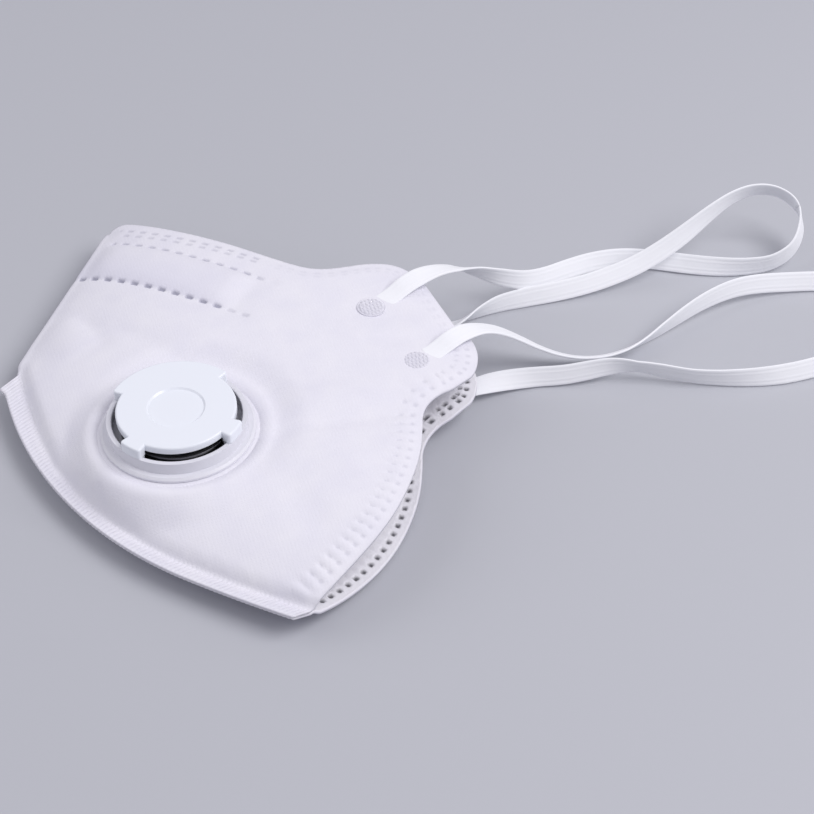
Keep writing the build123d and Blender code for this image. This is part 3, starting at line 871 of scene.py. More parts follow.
# ------------------------------------------------------------------ head straps
@dataclass(frozen=True)
class Strap:
    """One elastic strap: its centre line and how its width turns along it, in millimetres.

    Each route entry is x, y, z and the turn of the width out of the level, in degrees. The
    entry numbered far is where the two legs meet. A leg starts thin where it is welded down.
    """

    name: str
    route: tuple[tuple[float, float, float, float], ...]
    far: int
    width: float = 6.0
    thickness: float = 0.9
    step: float = 0.9
    ribs: int = 5
    rib_depth: float = 0.20
    roundness: Pair = (0.75, 0.35)
    rounds: int = 64
    weld_thickness: float = 0.2
    weld_length: float = 10.0
    bend_end: float = 88.0

    def line(self) -> tuple[Array, Array]:
        """The smooth centre line and the turn at each of its points.

        Returns:
            The points at even steps, and the turns in degrees.
        """
        curve = bpy.data.curves.new(f"{self.name}_route", "CURVE")
        curve.dimensions = "3D"
        spline = curve.splines.new("NURBS")
        spline.points.add(len(self.route) - 1)
        for point, (x, y, z, _) in zip(spline.points, self.route):
            point.co = (x, y, z, 1.0)
        spline.order_u = 3
        spline.use_endpoint_u = True
        spline.resolution_u = 10
        holder = bpy.data.objects.new(curve.name, curve)
        mesh = bpy.data.meshes.new_from_object(holder)
        path = spaced(np.array([v.co for v in mesh.vertices]), self.step)
        bpy.data.meshes.remove(mesh)
        bpy.data.objects.remove(holder)
        corners = np.array(self.route)
        along = lengths(corners[:, :3])
        return path, np.interp(np.linspace(0, along[-1], len(path)), along, corners[:, 3])

    def profile(self) -> Array:
        """The ribbed section: across the width, and through the thickness.

        Returns:
            Points round the section, one row each.
        """
        at = np.linspace(0, 2 * math.pi, self.rounds, endpoint=False)
        across = self.width / 2 * np.sign(np.cos(at)) * np.abs(np.cos(at)) ** self.roundness[0]
        edge = np.abs(np.sin(at)) ** self.roundness[1]
        rib = np.abs(np.cos(np.pi * self.ribs * across / self.width))
        rib = 1 - self.rib_depth + self.rib_depth * rib
        through = self.thickness / 2 * np.sign(np.sin(at)) * edge * rib
        return np.stack([across, through], axis=1)

    def leg(self, name: str, path: Array, turn: Array, ahead: Array) -> bpy.types.Object:
        """A ribbon along a stretch of the line, with the line's direction at each point.

        Args:
            name: the piece's name.
            path: its centre line, from its weld on.
            turn: the turn of its width at each point, in degrees.
            ahead: the line's direction at each point.

        Returns:
            The ribbon.
        """
        level = np.cross([0.0, 0.0, 1.0], ahead)
        level /= np.linalg.norm(level, axis=1)[:, None]
        upward = np.cross(ahead, level)
        c, s = np.cos(np.radians(turn))[:, None], np.sin(np.radians(turn))[:, None]
        wide, thick = level * c + upward * s, upward * c - level * s
        section, along = self.profile(), lengths(path)
        full = self.weld_thickness + (1 - self.weld_thickness) * smooth(along / self.weld_length)
        thick = thick * full[:, None]
        rings = path[:, None, :] + section[None, :, :1] * wide[:, None, :]
        rings = rings + section[None, :, 1:] * thick[:, None, :]
        n, m = len(path), len(section)
        faces = [
            (i * m + j, i * m + (j + 1) % m, (i + 1) * m + (j + 1) % m, (i + 1) * m + j)
            for i in range(n - 1)
            for j in range(m)
        ]
        faces += [tuple(range(m))[::-1], tuple(range((n - 1) * m, n * m))]
        piece = mesh_object(name, rings.reshape(-1, 3), faces, Material.ELASTIC)
        knit = np.zeros((n, m, 3))
        knit[:, :, 0], knit[:, :, 1] = along[:, None], section[None, :, 0]
        add_values(piece, "knit", knit.reshape(-1, 3))
        return piece

    def declare(self, piece: bpy.types.Object, path: Array) -> None:
        """Takes a leg and does nothing with it.

        Args:
            piece: the leg; not used.
            path: its centre line, from its weld on; not used.
        """

    def build(self) -> None:
        """Makes both legs, which meet at the far end of the loop."""
        path, turn = self.line()
        ahead = np.gradient(path, axis=0)
        ahead /= np.linalg.norm(ahead, axis=1)[:, None]
        far = int(np.linalg.norm(path - np.array(self.route[self.far][:3]), axis=1).argmin())
        right = self.leg(f"{self.name}_right_leg", path[: far + 1], turn[: far + 1], ahead[: far + 1])
        self.declare(right, path[: far + 1])
        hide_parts(f"{self.name}_right_end", f"{self.name}_loop")
        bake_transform(right)
        back, back_turn = path[far:][::-1], turn[far:][::-1]
        left = self.leg(f"{self.name}_left_leg", back, 180.0 - back_turn, -ahead[far:][::-1])
        self.declare(left, back)
        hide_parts(f"{self.name}_left_end")
        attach(left, "left_half")
        log.info("%s: %d points", self.name, len(path))


UPPER_STRAP = Strap(
    "upper_strap",
    (
        (45.4, 12.1, 19.35, 2), (48.0, 13.0, 19.55, 4), (50.8, 14.0, 20.05, 8),
        (54.0, 15.0, 21.2, 14), (58.6, 16.3, 21.9, 14), (64.6, 17.6, 21.7, -4),
        (71.1, 18.6, 19.9, -20), (78.0, 19.1, 16.4, -56), (86.0, 18.7, 11.6, -88),
        (94.0, 19.0, 7.6, -106), (102.0, 20.8, 5.2, -120), (110.0, 23.2, 3.9, -128),
        (118.5, 24.8, 3.0, -128), (127.5, 24.0, 2.8, -124), (136.4, 19.9, 2.8, -124),
        (144.5, 14.6, 2.8, -126), (153.0, 9.5, 2.9, -116), (161.5, 5.6, 3.2, -100),
        (170.0, 3.2, 4.0, -90), (177.6, 4.2, 6.4, -92), (182.6, 8.8, 10.0, -106),
        (183.8, 14.3, 14.0, -108), (180.0, 19.4, 17.2, -116), (172.5, 22.0, 18.8, -110),
        (164.0, 21.3, 18.3, -96), (155.0, 18.7, 16.2, -80), (146.0, 16.3, 12.8, -62),
        (137.5, 15.2, 9.2, -52), (129.0, 14.8, 6.2, -48), (120.0, 14.9, 4.3, -48),
        (111.0, 15.2, 3.3, -52), (102.0, 15.9, 2.9, -58), (93.0, 16.8, 2.9, -66),
        (84.5, 16.8, 3.2, -84), (76.5, 14.6, 3.8, -112), (69.4, 11.9, 4.2, -145),
        (63.5, 11.4, 3.8, -172), (57.5, 11.2, 3.1, -180), (51.8, 11.2, 2.6, -180),
        (46.4, 11.1, 2.4, -180), (44.6, 11.1, 2.3, -180),
    ),
    far=21,
)
LOWER_STRAP = Strap(
    "lower_strap",
    (
        (49.4, -14.1, 19.3, 2), (52.0, -13.4, 19.5, 4), (54.8, -12.5, 20.0, 8),
        (58.0, -11.5, 21.0, 12), (62.6, -10.0, 21.1, 8), (68.4, -8.4, 19.4, -6),
        (75.0, -7.5, 15.6, -12), (81.1, -8.2, 11.0, -22), (86.8, -10.4, 7.2, -32),
        (92.4, -13.0, 4.8, -36), (98.4, -15.2, 3.6, -38), (104.6, -16.4, 3.2, -40),
        (111.0, -16.2, 3.2, -44), (117.6, -14.7, 3.3, -58), (125.0, -12.3, 4.0, -76),
        (132.5, -9.8, 5.0, -88), (140.0, -7.5, 5.8, -96), (147.5, -5.7, 6.0, -103),
        (155.0, -4.6, 5.6, -110), (162.5, -4.5, 4.4, -116), (170.0, -5.3, 3.2, -120),
        (178.0, -7.3, 2.8, -122), (186.5, -10.6, 2.8, -118), (193.5, -15.8, 3.0, -106),
        (197.0, -23.0, 3.2, -92), (195.0, -30.8, 3.2, -82), (188.5, -36.6, 3.1, -72),
        (180.0, -40.0, 2.9, -64), (170.5, -41.7, 2.8, -60), (160.5, -42.2, 2.8, -60),
        (151.0, -41.7, 2.8, -62), (142.0, -40.0, 3.0, -76), (133.0, -37.1, 3.2, -90),
        (125.0, -33.4, 3.3, -98), (117.6, -28.8, 4.0, -100), (111.0, -25.2, 5.0, -110),
        (104.0, -22.6, 5.2, -84), (97.0, -21.2, 4.3, -70), (90.0, -19.5, 3.3, -66),
        (83.0, -17.0, 2.9, -62), (76.0, -15.7, 3.1, -48), (70.0, -15.5, 3.7, -32),
        (65.0, -15.5, 3.8, -14), (60.2, -15.5, 3.6, 0), (55.4, -15.3, 3.4, 0),
        (50.5, -14.9, 3.2, 0), (48.7, -14.9, 3.1, 0),
    ),
    far=24,
)


# ------------------------------------------------------------------ fabric body
@dataclass(frozen=True)
class RimRow:
    """A row of weld marks along the open edge, from one share of its length to another.

    The row's distance from the edge runs from the first inset to the second. The marks are
    pressed by one depth in the right half and by another in the left half.
    """

    insets: Pair
    pitch: float
    along: float
    across: float
    right: float
    left: float
    start: float
    end: float
    sharpness: float = 90.0

    def marks(self, away: Array, share: Array, length: float) -> Array:
        """0 to 1 at each point, from its distance to the edge and its share of the length.

        Args:
            away: distances to the open edge.
            share: shares of the edge's length.
            length: the edge's length.

        Returns:
            0 to 1, 1 in a mark.
        """
        inside = smooth((share - self.start) * self.sharpness) * smooth((self.end - share) * self.sharpness)
        inset = np.interp(share, (self.start, self.end), self.insets)
        u = repeated(share * length, self.pitch)
        return inside * dash(u, away - inset, self.along, self.across)


@dataclass(frozen=True)
class PocketRow:
    """A row of weld marks beside the nose pocket, in mm from the pocket's middle line.

    It runs from the first to the last distance from the nose, and is weak beyond fading.
    """

    line: float
    first: float
    last: float
    depth: float
    fading: float
    pitch: float = 4.8
    mark: Pair = (2.4, 1.4)
    weak: float = 0.35

    def marks(self, along: Array, across: Array) -> Array:
        """Depth pressed into the right half, from the distances along and across the pocket.

        Args:
            along: distances along the pocket.
            across: distances from its middle line.

        Returns:
            Depths, 0 between the marks.
        """
        full = smooth((self.fading - along) / 4.0) * (1 - self.weak)
        inside = smooth((along - self.first) / 1.5) * (smooth(self.last - along) * self.weak + full)
        return self.depth * inside * dash(repeated(along, self.pitch, 0.3), across - self.line, *self.mark)


@dataclass(frozen=True)
class FineZones:
    """Where the fabric is worked, so that its mesh is fine there: places and reaches in mm."""

    rim: float = 7.5
    seam: float = 2.4
    stitch: float = 1.9
    stitch_ends: Pair = (4.0, 68.0)
    pocket_end_inset: float = 4.0
    pocket_end_reach: float = 6.0
    flange_radius: float = 23.5
    flange_reach: float = 3.2


class Shell:
    """The fabric's points in rows, with what each one carries, and the faces between them."""

    def __init__(self) -> None:
        """Starts without points."""
        self.rows: list[tuple[Array, ...]] = []
        self.faces: list[tuple[int, ...]] = []
        self.count = 0

    def add(self, *carried: Array) -> list[int]:
        """Adds places with their thickness, weld-mark tone with painted shade, and painted shade over the
        pocket, and gives their numbers.

        Args:
            carried: places, thicknesses, weld-mark tone with painted shade, and painted shade over the
                pocket.

        Returns:
            The numbers of the new points.
        """
        self.rows.append(carried)
        first, self.count = self.count, self.count + len(carried[0])
        return list(range(first, self.count))

    def strip(self, first: list[int], second: list[int]) -> None:
        """Adds quads between two rows of points."""
        pairs = range(len(first) - 1)
        self.faces += [(first[i], second[i], second[i + 1], first[i + 1]) for i in pairs]


@dataclass(frozen=True)
class FabricBody:
    """Both fabric halves with the fold between them and the welded chin seam, as one shell.

    Lengths are in millimetres. The tapers are the widths over which the fabric thickens from the
    open edge and from the ridge, and over which the halves part beside the seam. Pairs of
    heights and depths are for the right and the left half.
    """

    form: MaskForm
    zones: FineZones = FineZones()
    fine: float = 0.52
    coarse: float = 1.5
    rim_step: float = 0.6
    seam_step: float = 0.34
    rim_measure: float = 0.2
    seam_measure: float = 0.1
    band_rings: int = 9
    fold_rings: int = 5
    rim_thickness: float = 1.05
    rim_edge: float = 0.3
    rim_taper: float = 4.2
    ridge_thickness: float = 1.5
    ridge_taper: float = 5.0
    seam_taper: float = 3.6
    thickest: float = 4.6
    thinnest: float = 0.4
    mark_depths: Pair = (0.6, 0.72)
    calm_rim: float = 3.0
    calm_seam: float = 4.0
    rib_pitch: float = 1.4
    rib_height: float = 0.2
    rib_fade: float = 1.5
    band_thinning: float = 0.25
    # strength of the painted shade in the band's grooves
    band_painted_shade: float = 0.4
    blend_reach: float = 8.0
    corner_reach: Pair = (-1.3, -1.0)
    corner_length: float = 2.6
    stitch_line: float = 8.3
    stitch_width: float = 1.5
    stitch_depth: float = 0.45
    stitch_fade: float = 4.0
    stitch_ends: Pair = (3.0, 66.0)
    step_width: float = 3.0
    step_depth: float = 0.25
    step_reach: float = 9.0
    step_fade: float = 3.0
    press_start: float = 0.6
    press_fade: float = 0.8
    # reach, softness and fade of the painted shade over the pocket
    painted_shade_reach: float = 8.6
    painted_shade_softness: float = 1.6
    painted_shade_fade: float = 16.0
    pucker_pitch: float = 3.4
    pucker_start: float = 0.62
    pucker_sharpness: float = 20.0
    pucker: Welt = Welt(5.5, 4.6, 1.0)
    pucker_heights: Pair = (0.17, 0.15)
    flange_welts: tuple[Welt, ...] = (Welt(25.2, 1.5, 0.45), Welt(22.4, 0.9, -0.5))
    rows: tuple[RimRow, ...] = (
        RimRow((3.7, 2.3), 4.4, 2.1, 1.0, 0.42, 0.3, 0.02, 0.24),
        RimRow((6.1, 3.9), 4.4, 2.1, 0.9, 0.34, 0.3, 0.02, 0.24),
        RimRow((2.3, 2.6), 3.6, 1.7, 0.9, 0.12, 0.9, 0.24, 0.56),
        RimRow((3.9, 4.1), 3.6, 1.7, 0.9, 0.08, 0.9, 0.24, 0.56),
        RimRow((2.8, 2.9), 3.4, 1.25, 1.3, 0.24, 1.0, 0.56, 0.985),
        RimRow((6.1, 6.1), 3.4, 1.0, 1.3, 0.2, 0.0, 0.56, 0.985),
        RimRow((4.6, 4.9), 3.4, 1.25, 1.2, 0.0, 0.9, 0.56, 0.70),
    )
    pocket_rows: tuple[PocketRow, ...] = (
        PocketRow(-8.3, 5.0, 62.0, 0.62, 60.0),
        PocketRow(8.0, 2.0, 66.0, 0.9, 58.0),
    )
    creases: tuple[Crease, ...] = (
        Crease((0.0, -25.5), (37.0, -33.5), 0.95, 3.6),
        Crease((8.0, -17.0), (33.0, -24.0), -0.7, 5.0),
        Crease((-35.0, 41.0), (-15.0, 12.5), 0.8, 3.2),
        Crease((-45.0, 44.0), (-41.0, 29.0), -1.0, 5.5),
        Crease((-37.0, 44.0), (-32.5, 28.0), 0.9, 2.8),
        Crease((-24.0, 43.0), (-2.0, 14.0), -0.5, 4.5),
        Crease((31.0, 17.0), (50.0, 2.0), 0.5, 4.0),
        Crease((36.0, -2.0), (58.0, -9.0), 0.4, 3.0),
        Crease((2.0, -66.0), (-4.0, -45.0), 0.5, 5.0),
        Crease((20.0, -50.0), (6.0, -38.0), -0.45, 5.0),
        Crease((-47.0, -40.0), (-33.0, -55.0), 0.35, 4.0),
    )

    def loop(self) -> tuple[Array, int, int]:
        """The outline anticlockwise from the ridge's tip.

        Returns:
            The points, how many lie on the seam, and the number of the last point of the rim.
        """
        seam = spaced(self.form.seam_inner(), self.seam_step)
        rim = spaced(self.form.rim(), self.rim_step)[::-1]
        ridge = spaced(np.array([self.form.ridge_end(), self.form.ridge_tip]), 1.0)
        return np.concatenate([seam, rim[1:], ridge[1:-1]]), len(seam), len(seam) + len(rim) - 2

    def filling(self, loop: Array, rim: Array) -> Array:
        """Points inside the outline, closer together where the fabric is worked.

        Args:
            loop: the outline.
            rim: the open edge.

        Returns:
            The points in plan.
        """
        form, out = self.form, []
        for pitch, wanted in ((self.coarse, False), (self.fine, True)):
            xs = np.arange(-form.half_width, form.half_width, pitch)
            ys = np.arange(-form.half_height, form.half_height + 2, pitch * 0.866)
            x, y = np.meshgrid(xs, ys)
            x = x + (np.arange(len(ys)) % 2)[:, None] * pitch / 2
            x, y = x.ravel(), y.ravel()
            keep = (self.worked(x, y, rim) == wanted) & self.contains(loop, x, y)
            points = np.column_stack([x[keep], y[keep]])
            clear, _ = nearest(points, spaced(np.vstack([loop, loop[:1]]), 0.25))
            out.append(points[clear > pitch * 0.5])
        coarse, fine = out
        gap, _ = nearest(coarse, fine)
        return np.concatenate([coarse[gap > self.fine * 1.2], fine])

    def worked(self, x: Array, y: Array, rim: Array) -> Array:
        """Whether each place lies by the open edge, the pocket, the valve's flange or the seam.

        Args:
            x: places in plan, across.
            y: places in plan, up the mask.
            rim: the open edge.

        Returns:
            True where the fabric is worked.
        """
        form = self.form
        near, _ = nearest(np.column_stack([x, y]), rim)
        along, across = form.pocket_place(x, y)
        zones, (first, last) = self.zones, self.zones.stitch_ends
        row = (np.abs(np.abs(across) - self.stitch_line) < zones.stitch) & (along > first) & (along < last)
        end = np.abs(along - form.pocket_end + zones.pocket_end_inset) < zones.pocket_end_reach
        end = end & (np.abs(across) < form.pocket_half_width)
        ring = np.abs(form.from_valve(x, y) - zones.flange_radius) < zones.flange_reach
        return (near < zones.rim) | row | end | ring | (form.inside_seam(x, y) < zones.seam)

    @staticmethod
    def contains(loop: Array, x: Array, y: Array) -> Array:
        """Whether each point lies inside the outline.

        Args:
            loop: the outline.
            x: places in plan, across.
            y: places in plan, up the mask.

        Returns:
            True inside.
        """
        inside = np.zeros(len(x), bool)
        for (ax, ay), (bx, by) in zip(loop, np.roll(loop, -1, axis=0)):
            if ay != by:
                crosses = (ay > y) != (by > y)
                inside ^= crosses & (x < (bx - ax) * (y - ay) / (by - ay) + ax)
        return inside

    def pressed(self, x: Array, y: Array, rim: Array) -> dict[str, Array]:
        """Weld marks of both halves, distance from the open edge, and the puckers between marks.

        Args:
            x: places in plan, across.
            y: places in plan, up the mask.
            rim: the open edge.

        Returns:
            Values by name: away, right, left and pucker.
        """
        away, place = nearest(np.column_stack([x, y]), rim)
        length = float(lengths(rim)[-1])
        share = place / length
        right, left = np.zeros(len(x)), np.zeros(len(x))
        for row in self.rows:
            mark = row.marks(away, share, length)
            right, left = np.maximum(right, row.right * mark), np.maximum(left, row.left * mark)
        along, across = self.form.pocket_place(x, y)
        for row in self.pocket_rows:
            mark = row.marks(along, across)
            right, left = np.maximum(right, mark), np.maximum(left, mark / 2)
        pucker = np.cos(2 * np.pi * place / self.pucker_pitch) * self.pucker.rise(away)
        pucker = pucker * smooth((share - self.pucker_start) * self.pucker_sharpness)
        return {"away": away, "right": right, "left": left, "pucker": pucker}

    def worked_depth(self, x: Array, y: Array) -> Array:
        """How deep the creases, the lines beside the pocket and the step at its end lie.

        Args:
            x: places in plan, across.
            y: places in plan, up the mask.

        Returns:
            Depths, negative where a crease stands up.
        """
        along, across = self.form.pocket_place(x, y)
        first, last = self.stitch_ends
        welts = [Welt(s * self.stitch_line, self.stitch_width, self.stitch_depth) for s in (-1, 1)]
        lines = sum(welt.rise(across) for welt in welts)
        lines = lines * smooth((along - first) / self.stitch_fade) * smooth((last - along) / self.stitch_fade)
        step = Welt(self.form.pocket_end, self.step_width, self.step_depth).rise(along)
        step = step * smooth((self.step_reach - np.abs(across)) / self.step_fade)
        return sum(crease.drop(x, y) for crease in self.creases) + lines + step

    def layers(self, x: Array, y: Array, rim: Array, seam: Array) -> dict[str, Array]:
        """Middle height and thickness of both halves at each plan point.

        Args:
            x: places in plan, across.
            y: places in plan, up the mask.
            rim: the open edge.
            seam: the line where the panels run into the welded band.

        Returns:
            Heights, thicknesses and pressed marks by half, with the marks' tone partly painted shade, and the
            painted shade over the pocket.
        """
        form, marks = self.form, self.pressed(x, y, rim)
        away, pucker = marks["away"], marks["pucker"]
        along, across = form.pocket_place(x, y)
        base, bulge, band = form.plane(x), form.bulge(x, y), form.band_layer / 2
        seam_in, u = nearest(np.column_stack([x, y]), seam)
        open_up = smooth(seam_in / self.seam_taper)
        full = form.stack + bulge
        from_rim = smooth((away - self.rim_edge) / self.rim_taper)
        full = self.rim_thickness + (full - self.rim_thickness) * from_rim
        from_ridge = smooth(np.maximum(0.0, form.inside_ridge(x, y)) / self.ridge_taper)
        full = np.minimum(full, self.ridge_thickness + (full - self.ridge_thickness) * from_ridge)
        full = form.band_layer + (full - form.band_layer) * open_up
        rib = np.cos(2 * np.pi * u / self.rib_pitch) * smooth(1 - seam_in / self.rib_fade) * self.rib_height
        calm = smooth(away / self.calm_rim) * smooth(seam_in / self.calm_seam)
        right_pucker, left_pucker = (height * pucker for height in self.pucker_heights)
        lift_right = form.right_inside(x, y) + form.stack / 2 + bulge / 2 - base
        lift_right = lift_right + sum(welt.rise(form.from_valve(x, y)) for welt in self.flange_welts)
        lift_right = lift_right + (right_pucker - self.worked_depth(x, y)) * calm
        lift_left = base - form.left_skin(x, y) - form.stack / 2 - bulge / 2
        clear = smooth((seam_in - self.press_start) / self.press_fade)
        right_depth, left_depth = self.mark_depths
        # painted shade over the pocket: darkest above its lower row of marks, fading towards its top and its
        # end
        shade = smooth((self.painted_shade_reach - np.abs(across)) / self.painted_shade_softness)
        shade = shade * smooth((form.pocket_end - along) / self.painted_shade_fade)
        return {
            "right": base + band * (1 - open_up) + lift_right * open_up + rib,
            "left": base - band * (1 - open_up) - lift_left * open_up - rib - left_pucker * calm,
            "right_thick": np.maximum(self.thinnest, full * (1 - right_depth * marks["right"])),
            "left_thick": np.maximum(self.thinnest, full * (1 - left_depth * marks["left"])),
            # weld-mark tone, partly painted shade in the marks' pits
            "right_press": marks["right"] * clear,
            "left_press": marks["left"] * clear,
            "pocket": shade * np.clip(0.5 + across / self.painted_shade_fade, 0.1, 1),
        }

    def add_fold(self, shell: Shell, plan: Array, layer: dict[str, Array], ridge: list[int]) -> None:
        """Adds the fold along the nose ridge, from the right half round to the left.

        Args:
            shell: the shell to add to.
            plan: all points in plan.
            layer: heights and thicknesses of both halves.
            ridge: the numbers of the ridge's points.
        """
        form, previous = self.form, ridge
        outward = np.array([-form.ridge_direction[1], form.ridge_direction[0]])
        base = form.plane(plan[ridge, 0])
        up, down = layer["right"][ridge] - base, base - layer["left"][ridge]
        carried = (layer["right_thick"][ridge], np.zeros(len(ridge)), layer["pocket"][ridge])
        for step in range(1, self.fold_rings + 1):
            turn = math.pi * step / (self.fold_rings + 1)
            z = base + (up if turn < math.pi / 2 else down) * math.cos(turn)
            place = plan[ridge] + outward * ((up + down) / 2 * math.sin(turn))[:, None]
            current = shell.add(np.column_stack([place, z]), *carried)
            shell.strip(previous, current)
            previous = current
        shell.strip(previous, [i + len(plan) for i in ridge])

    def add_band(self, shell: Shell, plan: Array, seam: list[int]) -> None:
        """Adds the ribbed band outside the seam line, on each half.

        Args:
            shell: the shell to add to.
            plan: all points in plan.
            seam: the numbers of the seam's points.
        """
        form, n = self.form, len(seam)
        inner, outer = plan[seam], form.seam_outer()
        outer = spaced(outer, lengths(outer)[-1] / (n - 1))
        flap = bell(np.arange(len(outer)) * self.seam_step / self.corner_length)[:, None]
        outer = (outer + flap * np.array(self.corner_reach))[:n]
        wave = np.cos(2 * np.pi * lengths(inner) / self.rib_pitch)
        for side, previous in ((1, seam), (-1, [i + len(plan) for i in seam])):
            for step in range(1, self.band_rings + 1):
                v = step / self.band_rings
                place = inner + (outer - inner) * v
                rib = wave * self.rib_height * (0.55 + 0.45 * smooth(2.0 - 2.1 * v))
                z = form.plane(place[:, 0]) + side * (form.band_layer / 2 + rib)
                thick = np.full(n, form.band_layer * (1 - self.band_thinning * v))
                # painted shade in the grooves between the band's ribs
                press = (0.5 - 0.5 * wave) * self.band_painted_shade * smooth(3 * v - 0.5) * (1 - 0.7 * v)
                current = shell.add(np.column_stack([place, z]), thick, press, np.zeros(n))
                # the left half's faces look down
                shell.strip(*(previous, current)[::side])
                previous = current

    def build(self) -> None:
        """Makes the shell over both halves."""
        form, shell = self.form, Shell()
        rim, seam = spaced(form.rim(), self.rim_measure), spaced(form.seam_inner(), self.seam_measure)
        loop, seam_count, rim_last = self.loop()
        points = np.concatenate([loop, self.filling(loop, rim)])
        ring = [(i, (i + 1) % len(loop)) for i in range(len(loop))]
        found, _, faces, origin, _, _ = delaunay_2d_cdt([Vector(p) for p in points], ring, [], 1, 1e-6)
        plan = np.array([tuple(p) for p in found])
        at = {old: new for new, olds in enumerate(origin) for old in olds}
        layer = self.layers(plan[:, 0], plan[:, 1], rim, seam)
        for side in ("right", "left"):
            height, thick, press = layer[side], layer[f"{side}_thick"], layer[f"{side}_press"]
            shell.add(np.column_stack([plan, height]), thick, press, layer["pocket"])
        n = len(plan)
        shell.faces = [tuple(f) for f in faces] + [tuple(i + n for i in reversed(f)) for f in faces]
        self.add_fold(shell, plan, layer, [at[k % len(loop)] for k in range(rim_last, len(loop) + 1)])
        self.add_band(shell, plan, [at[k] for k in range(seam_count)])

        points, thick, press, pocket = (np.concatenate(column) for column in zip(*shell.rows))
        piece = mesh_object("fabric_body", points, shell.faces, Material.COVER, Material.LINING)
        # press holds the weld marks' tone with painted shade; pocket holds the painted shade over the pocket
        for name, values in (("rest", points), ("press", press), ("pocket", pocket)):
            add_values(piece, name, values)
        group = piece.vertex_groups.new(name="layer_thickness")
        for index, value in enumerate(thick / self.thickest):
            group.add([index], float(value), "REPLACE")
        self.declare(piece)
        modifier = piece.modifiers.new("Thickness", "SOLIDIFY")
        modifier.thickness = self.thickest * MM
        modifier.offset = 0.0
        modifier.vertex_group = group.name
        modifier.material_offset = 1
        log.info("fabric_body: %d points", shell.count)

    def declare(self, piece: bpy.types.Object) -> None:
        """Hides the nodes that the shell stands for, and bakes the shell's place into its mesh.

        Args:
            piece: the shell's object.
        """
        form = self.form
        layers = ("outer_cover", "filter_media", "inner_lining", "nose_foam", "nose_clip")
        nodes = [f"{side}_{layer}" for side in ("right", "left") for layer in layers]
        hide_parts("chin_seam", *nodes)
        tip = np.array([*form.ridge_tip, form.plane(form.ridge_tip[0])])
        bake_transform(piece)


class Half(Enum):
    """A half of the mask, by the side that its outer face looks to: up or down."""

    RIGHT = 1
    LEFT = -1


@dataclass(frozen=True)
class StrapWeld:
    """A round weld spot with a waffle of raised cells, in millimetres and degrees."""

    strap: str
    half: Half
    centre: Pair
    turn: float
    radius: float = 4.1
    pitch: Pair = (1.15, 1.45)
    cell: Pair = (0.42, 0.44)
    cell_softness: Pair = (0.16, 0.14)
    brick_shift: float = 0.35
    base: float = 0.02
    height: float = 0.24
    groove: float = 0.25
    border: float = 0.35
    border_softness: float = 0.4
    edge_softness: float = 0.5
    lift: float = 0.05
    depth: float = 0.5
    cell_press: float = 0.16
    gap_painted_shade: float = 0.12
    rings: int = 34
    spokes: int = 120

    def disc(self) -> Array:
        """Places on the flat spot, ring by ring: x and y from its centre, and the distance to it.

        Returns:
            One row for each place.
        """
        at = np.linspace(0, 2 * math.pi, self.spokes, endpoint=False)
        radii = [self.radius * max(0.02, k / self.rings) for k in range(self.rings + 1)]
        full = np.full(self.spokes, 1.0)
        return np.concatenate([np.stack([np.cos(at), np.sin(at), full], axis=1) * r for r in radii])

    def waffle(self, x: Array, y: Array) -> Array:
        """1 on a raised cell, 0 between the cells.

        Args:
            x: places from the spot's centre.
            y: the same, the other way.

        Returns:
            0 to 1 at each place.
        """
        turn = math.radians(self.turn * self.half.value)
        c, s = math.cos(turn), math.sin(turn)
        u, v = x * c + y * s, y * c - x * s
        u = u + (np.floor(v / self.pitch[1] + 0.5) % 2) * self.pitch[0] * self.brick_shift
        across = [np.abs((w / pitch + 0.5) % 1 - 0.5) for w, pitch in zip((u, v), self.pitch)]
        sides = [smooth((size - w) / soft) for size, w, soft in zip(self.cell, across, self.cell_softness)]
        return sides[0] * sides[1]

    def faces(self, n: int) -> list[tuple[int, ...]]:
        """The faces of a closed disc with n points above and n below.

        Args:
            n: how many points a side has.

        Returns:
            The point numbers of each face.
        """
        m, faces = self.spokes, []
        for k in range(self.rings):
            for j in range(m):
                a, b = k * m + j, k * m + (j + 1) % m
                faces += [(a, a + m, b + m, b), (n + a, n + b, n + b + m, n + a + m)]
        last = self.rings * m
        faces += [(last + j, n + last + j, n + last + (j + 1) % m, last + (j + 1) % m) for j in range(m)]
        faces += [tuple(range(m)), tuple(range(n, n + m))[::-1]]
        return [f[:: self.half.value] for f in faces]

    def build(self, form: MaskForm) -> None:
        """Makes the spot on its half's outer face.

        Args:
            form: the shape of the mask under it.
        """
        side, places = self.half.value, self.disc()
        cell, away = self.waffle(places[:, 0], places[:, 1]), self.radius - places[:, 2]
        proud = self.base + self.height * cell * smooth((away - self.border) / self.border_softness)
        groove = Welt(self.border, self.border, -self.groove).rise(away)
        relief = proud * smooth(away / self.edge_softness) + groove
        x, y = self.centre[0] + places[:, 0], self.centre[1] + places[:, 1]
        skin = form.right_inside(x, y) + form.stack if side > 0 else form.left_skin(x, y)
        top = np.column_stack([x, y, skin + side * (relief + self.lift)])
        under = np.column_stack([x, y, skin - side * self.depth])
        n, rest = len(places), np.concatenate([top, under])
        half = self.half.name.lower()
        piece = mesh_object(f"{self.strap}_{half}_spot", rest, self.faces(n), Material.COVER)
        add_values(piece, "rest", rest)
        # the spot's own pressed tone, with painted shade in the grooves between the cells
        press = self.cell_press + (1 - cell) * self.gap_painted_shade
        add_values(piece, "press", np.concatenate([press, np.zeros(n)]))
        add_values(piece, "pocket", np.zeros(2 * n))
        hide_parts(f"{self.strap}_{half}_weld")
        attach(piece, f"{half}_half")
        log.info("%s: %d points", piece.name, 2 * n)


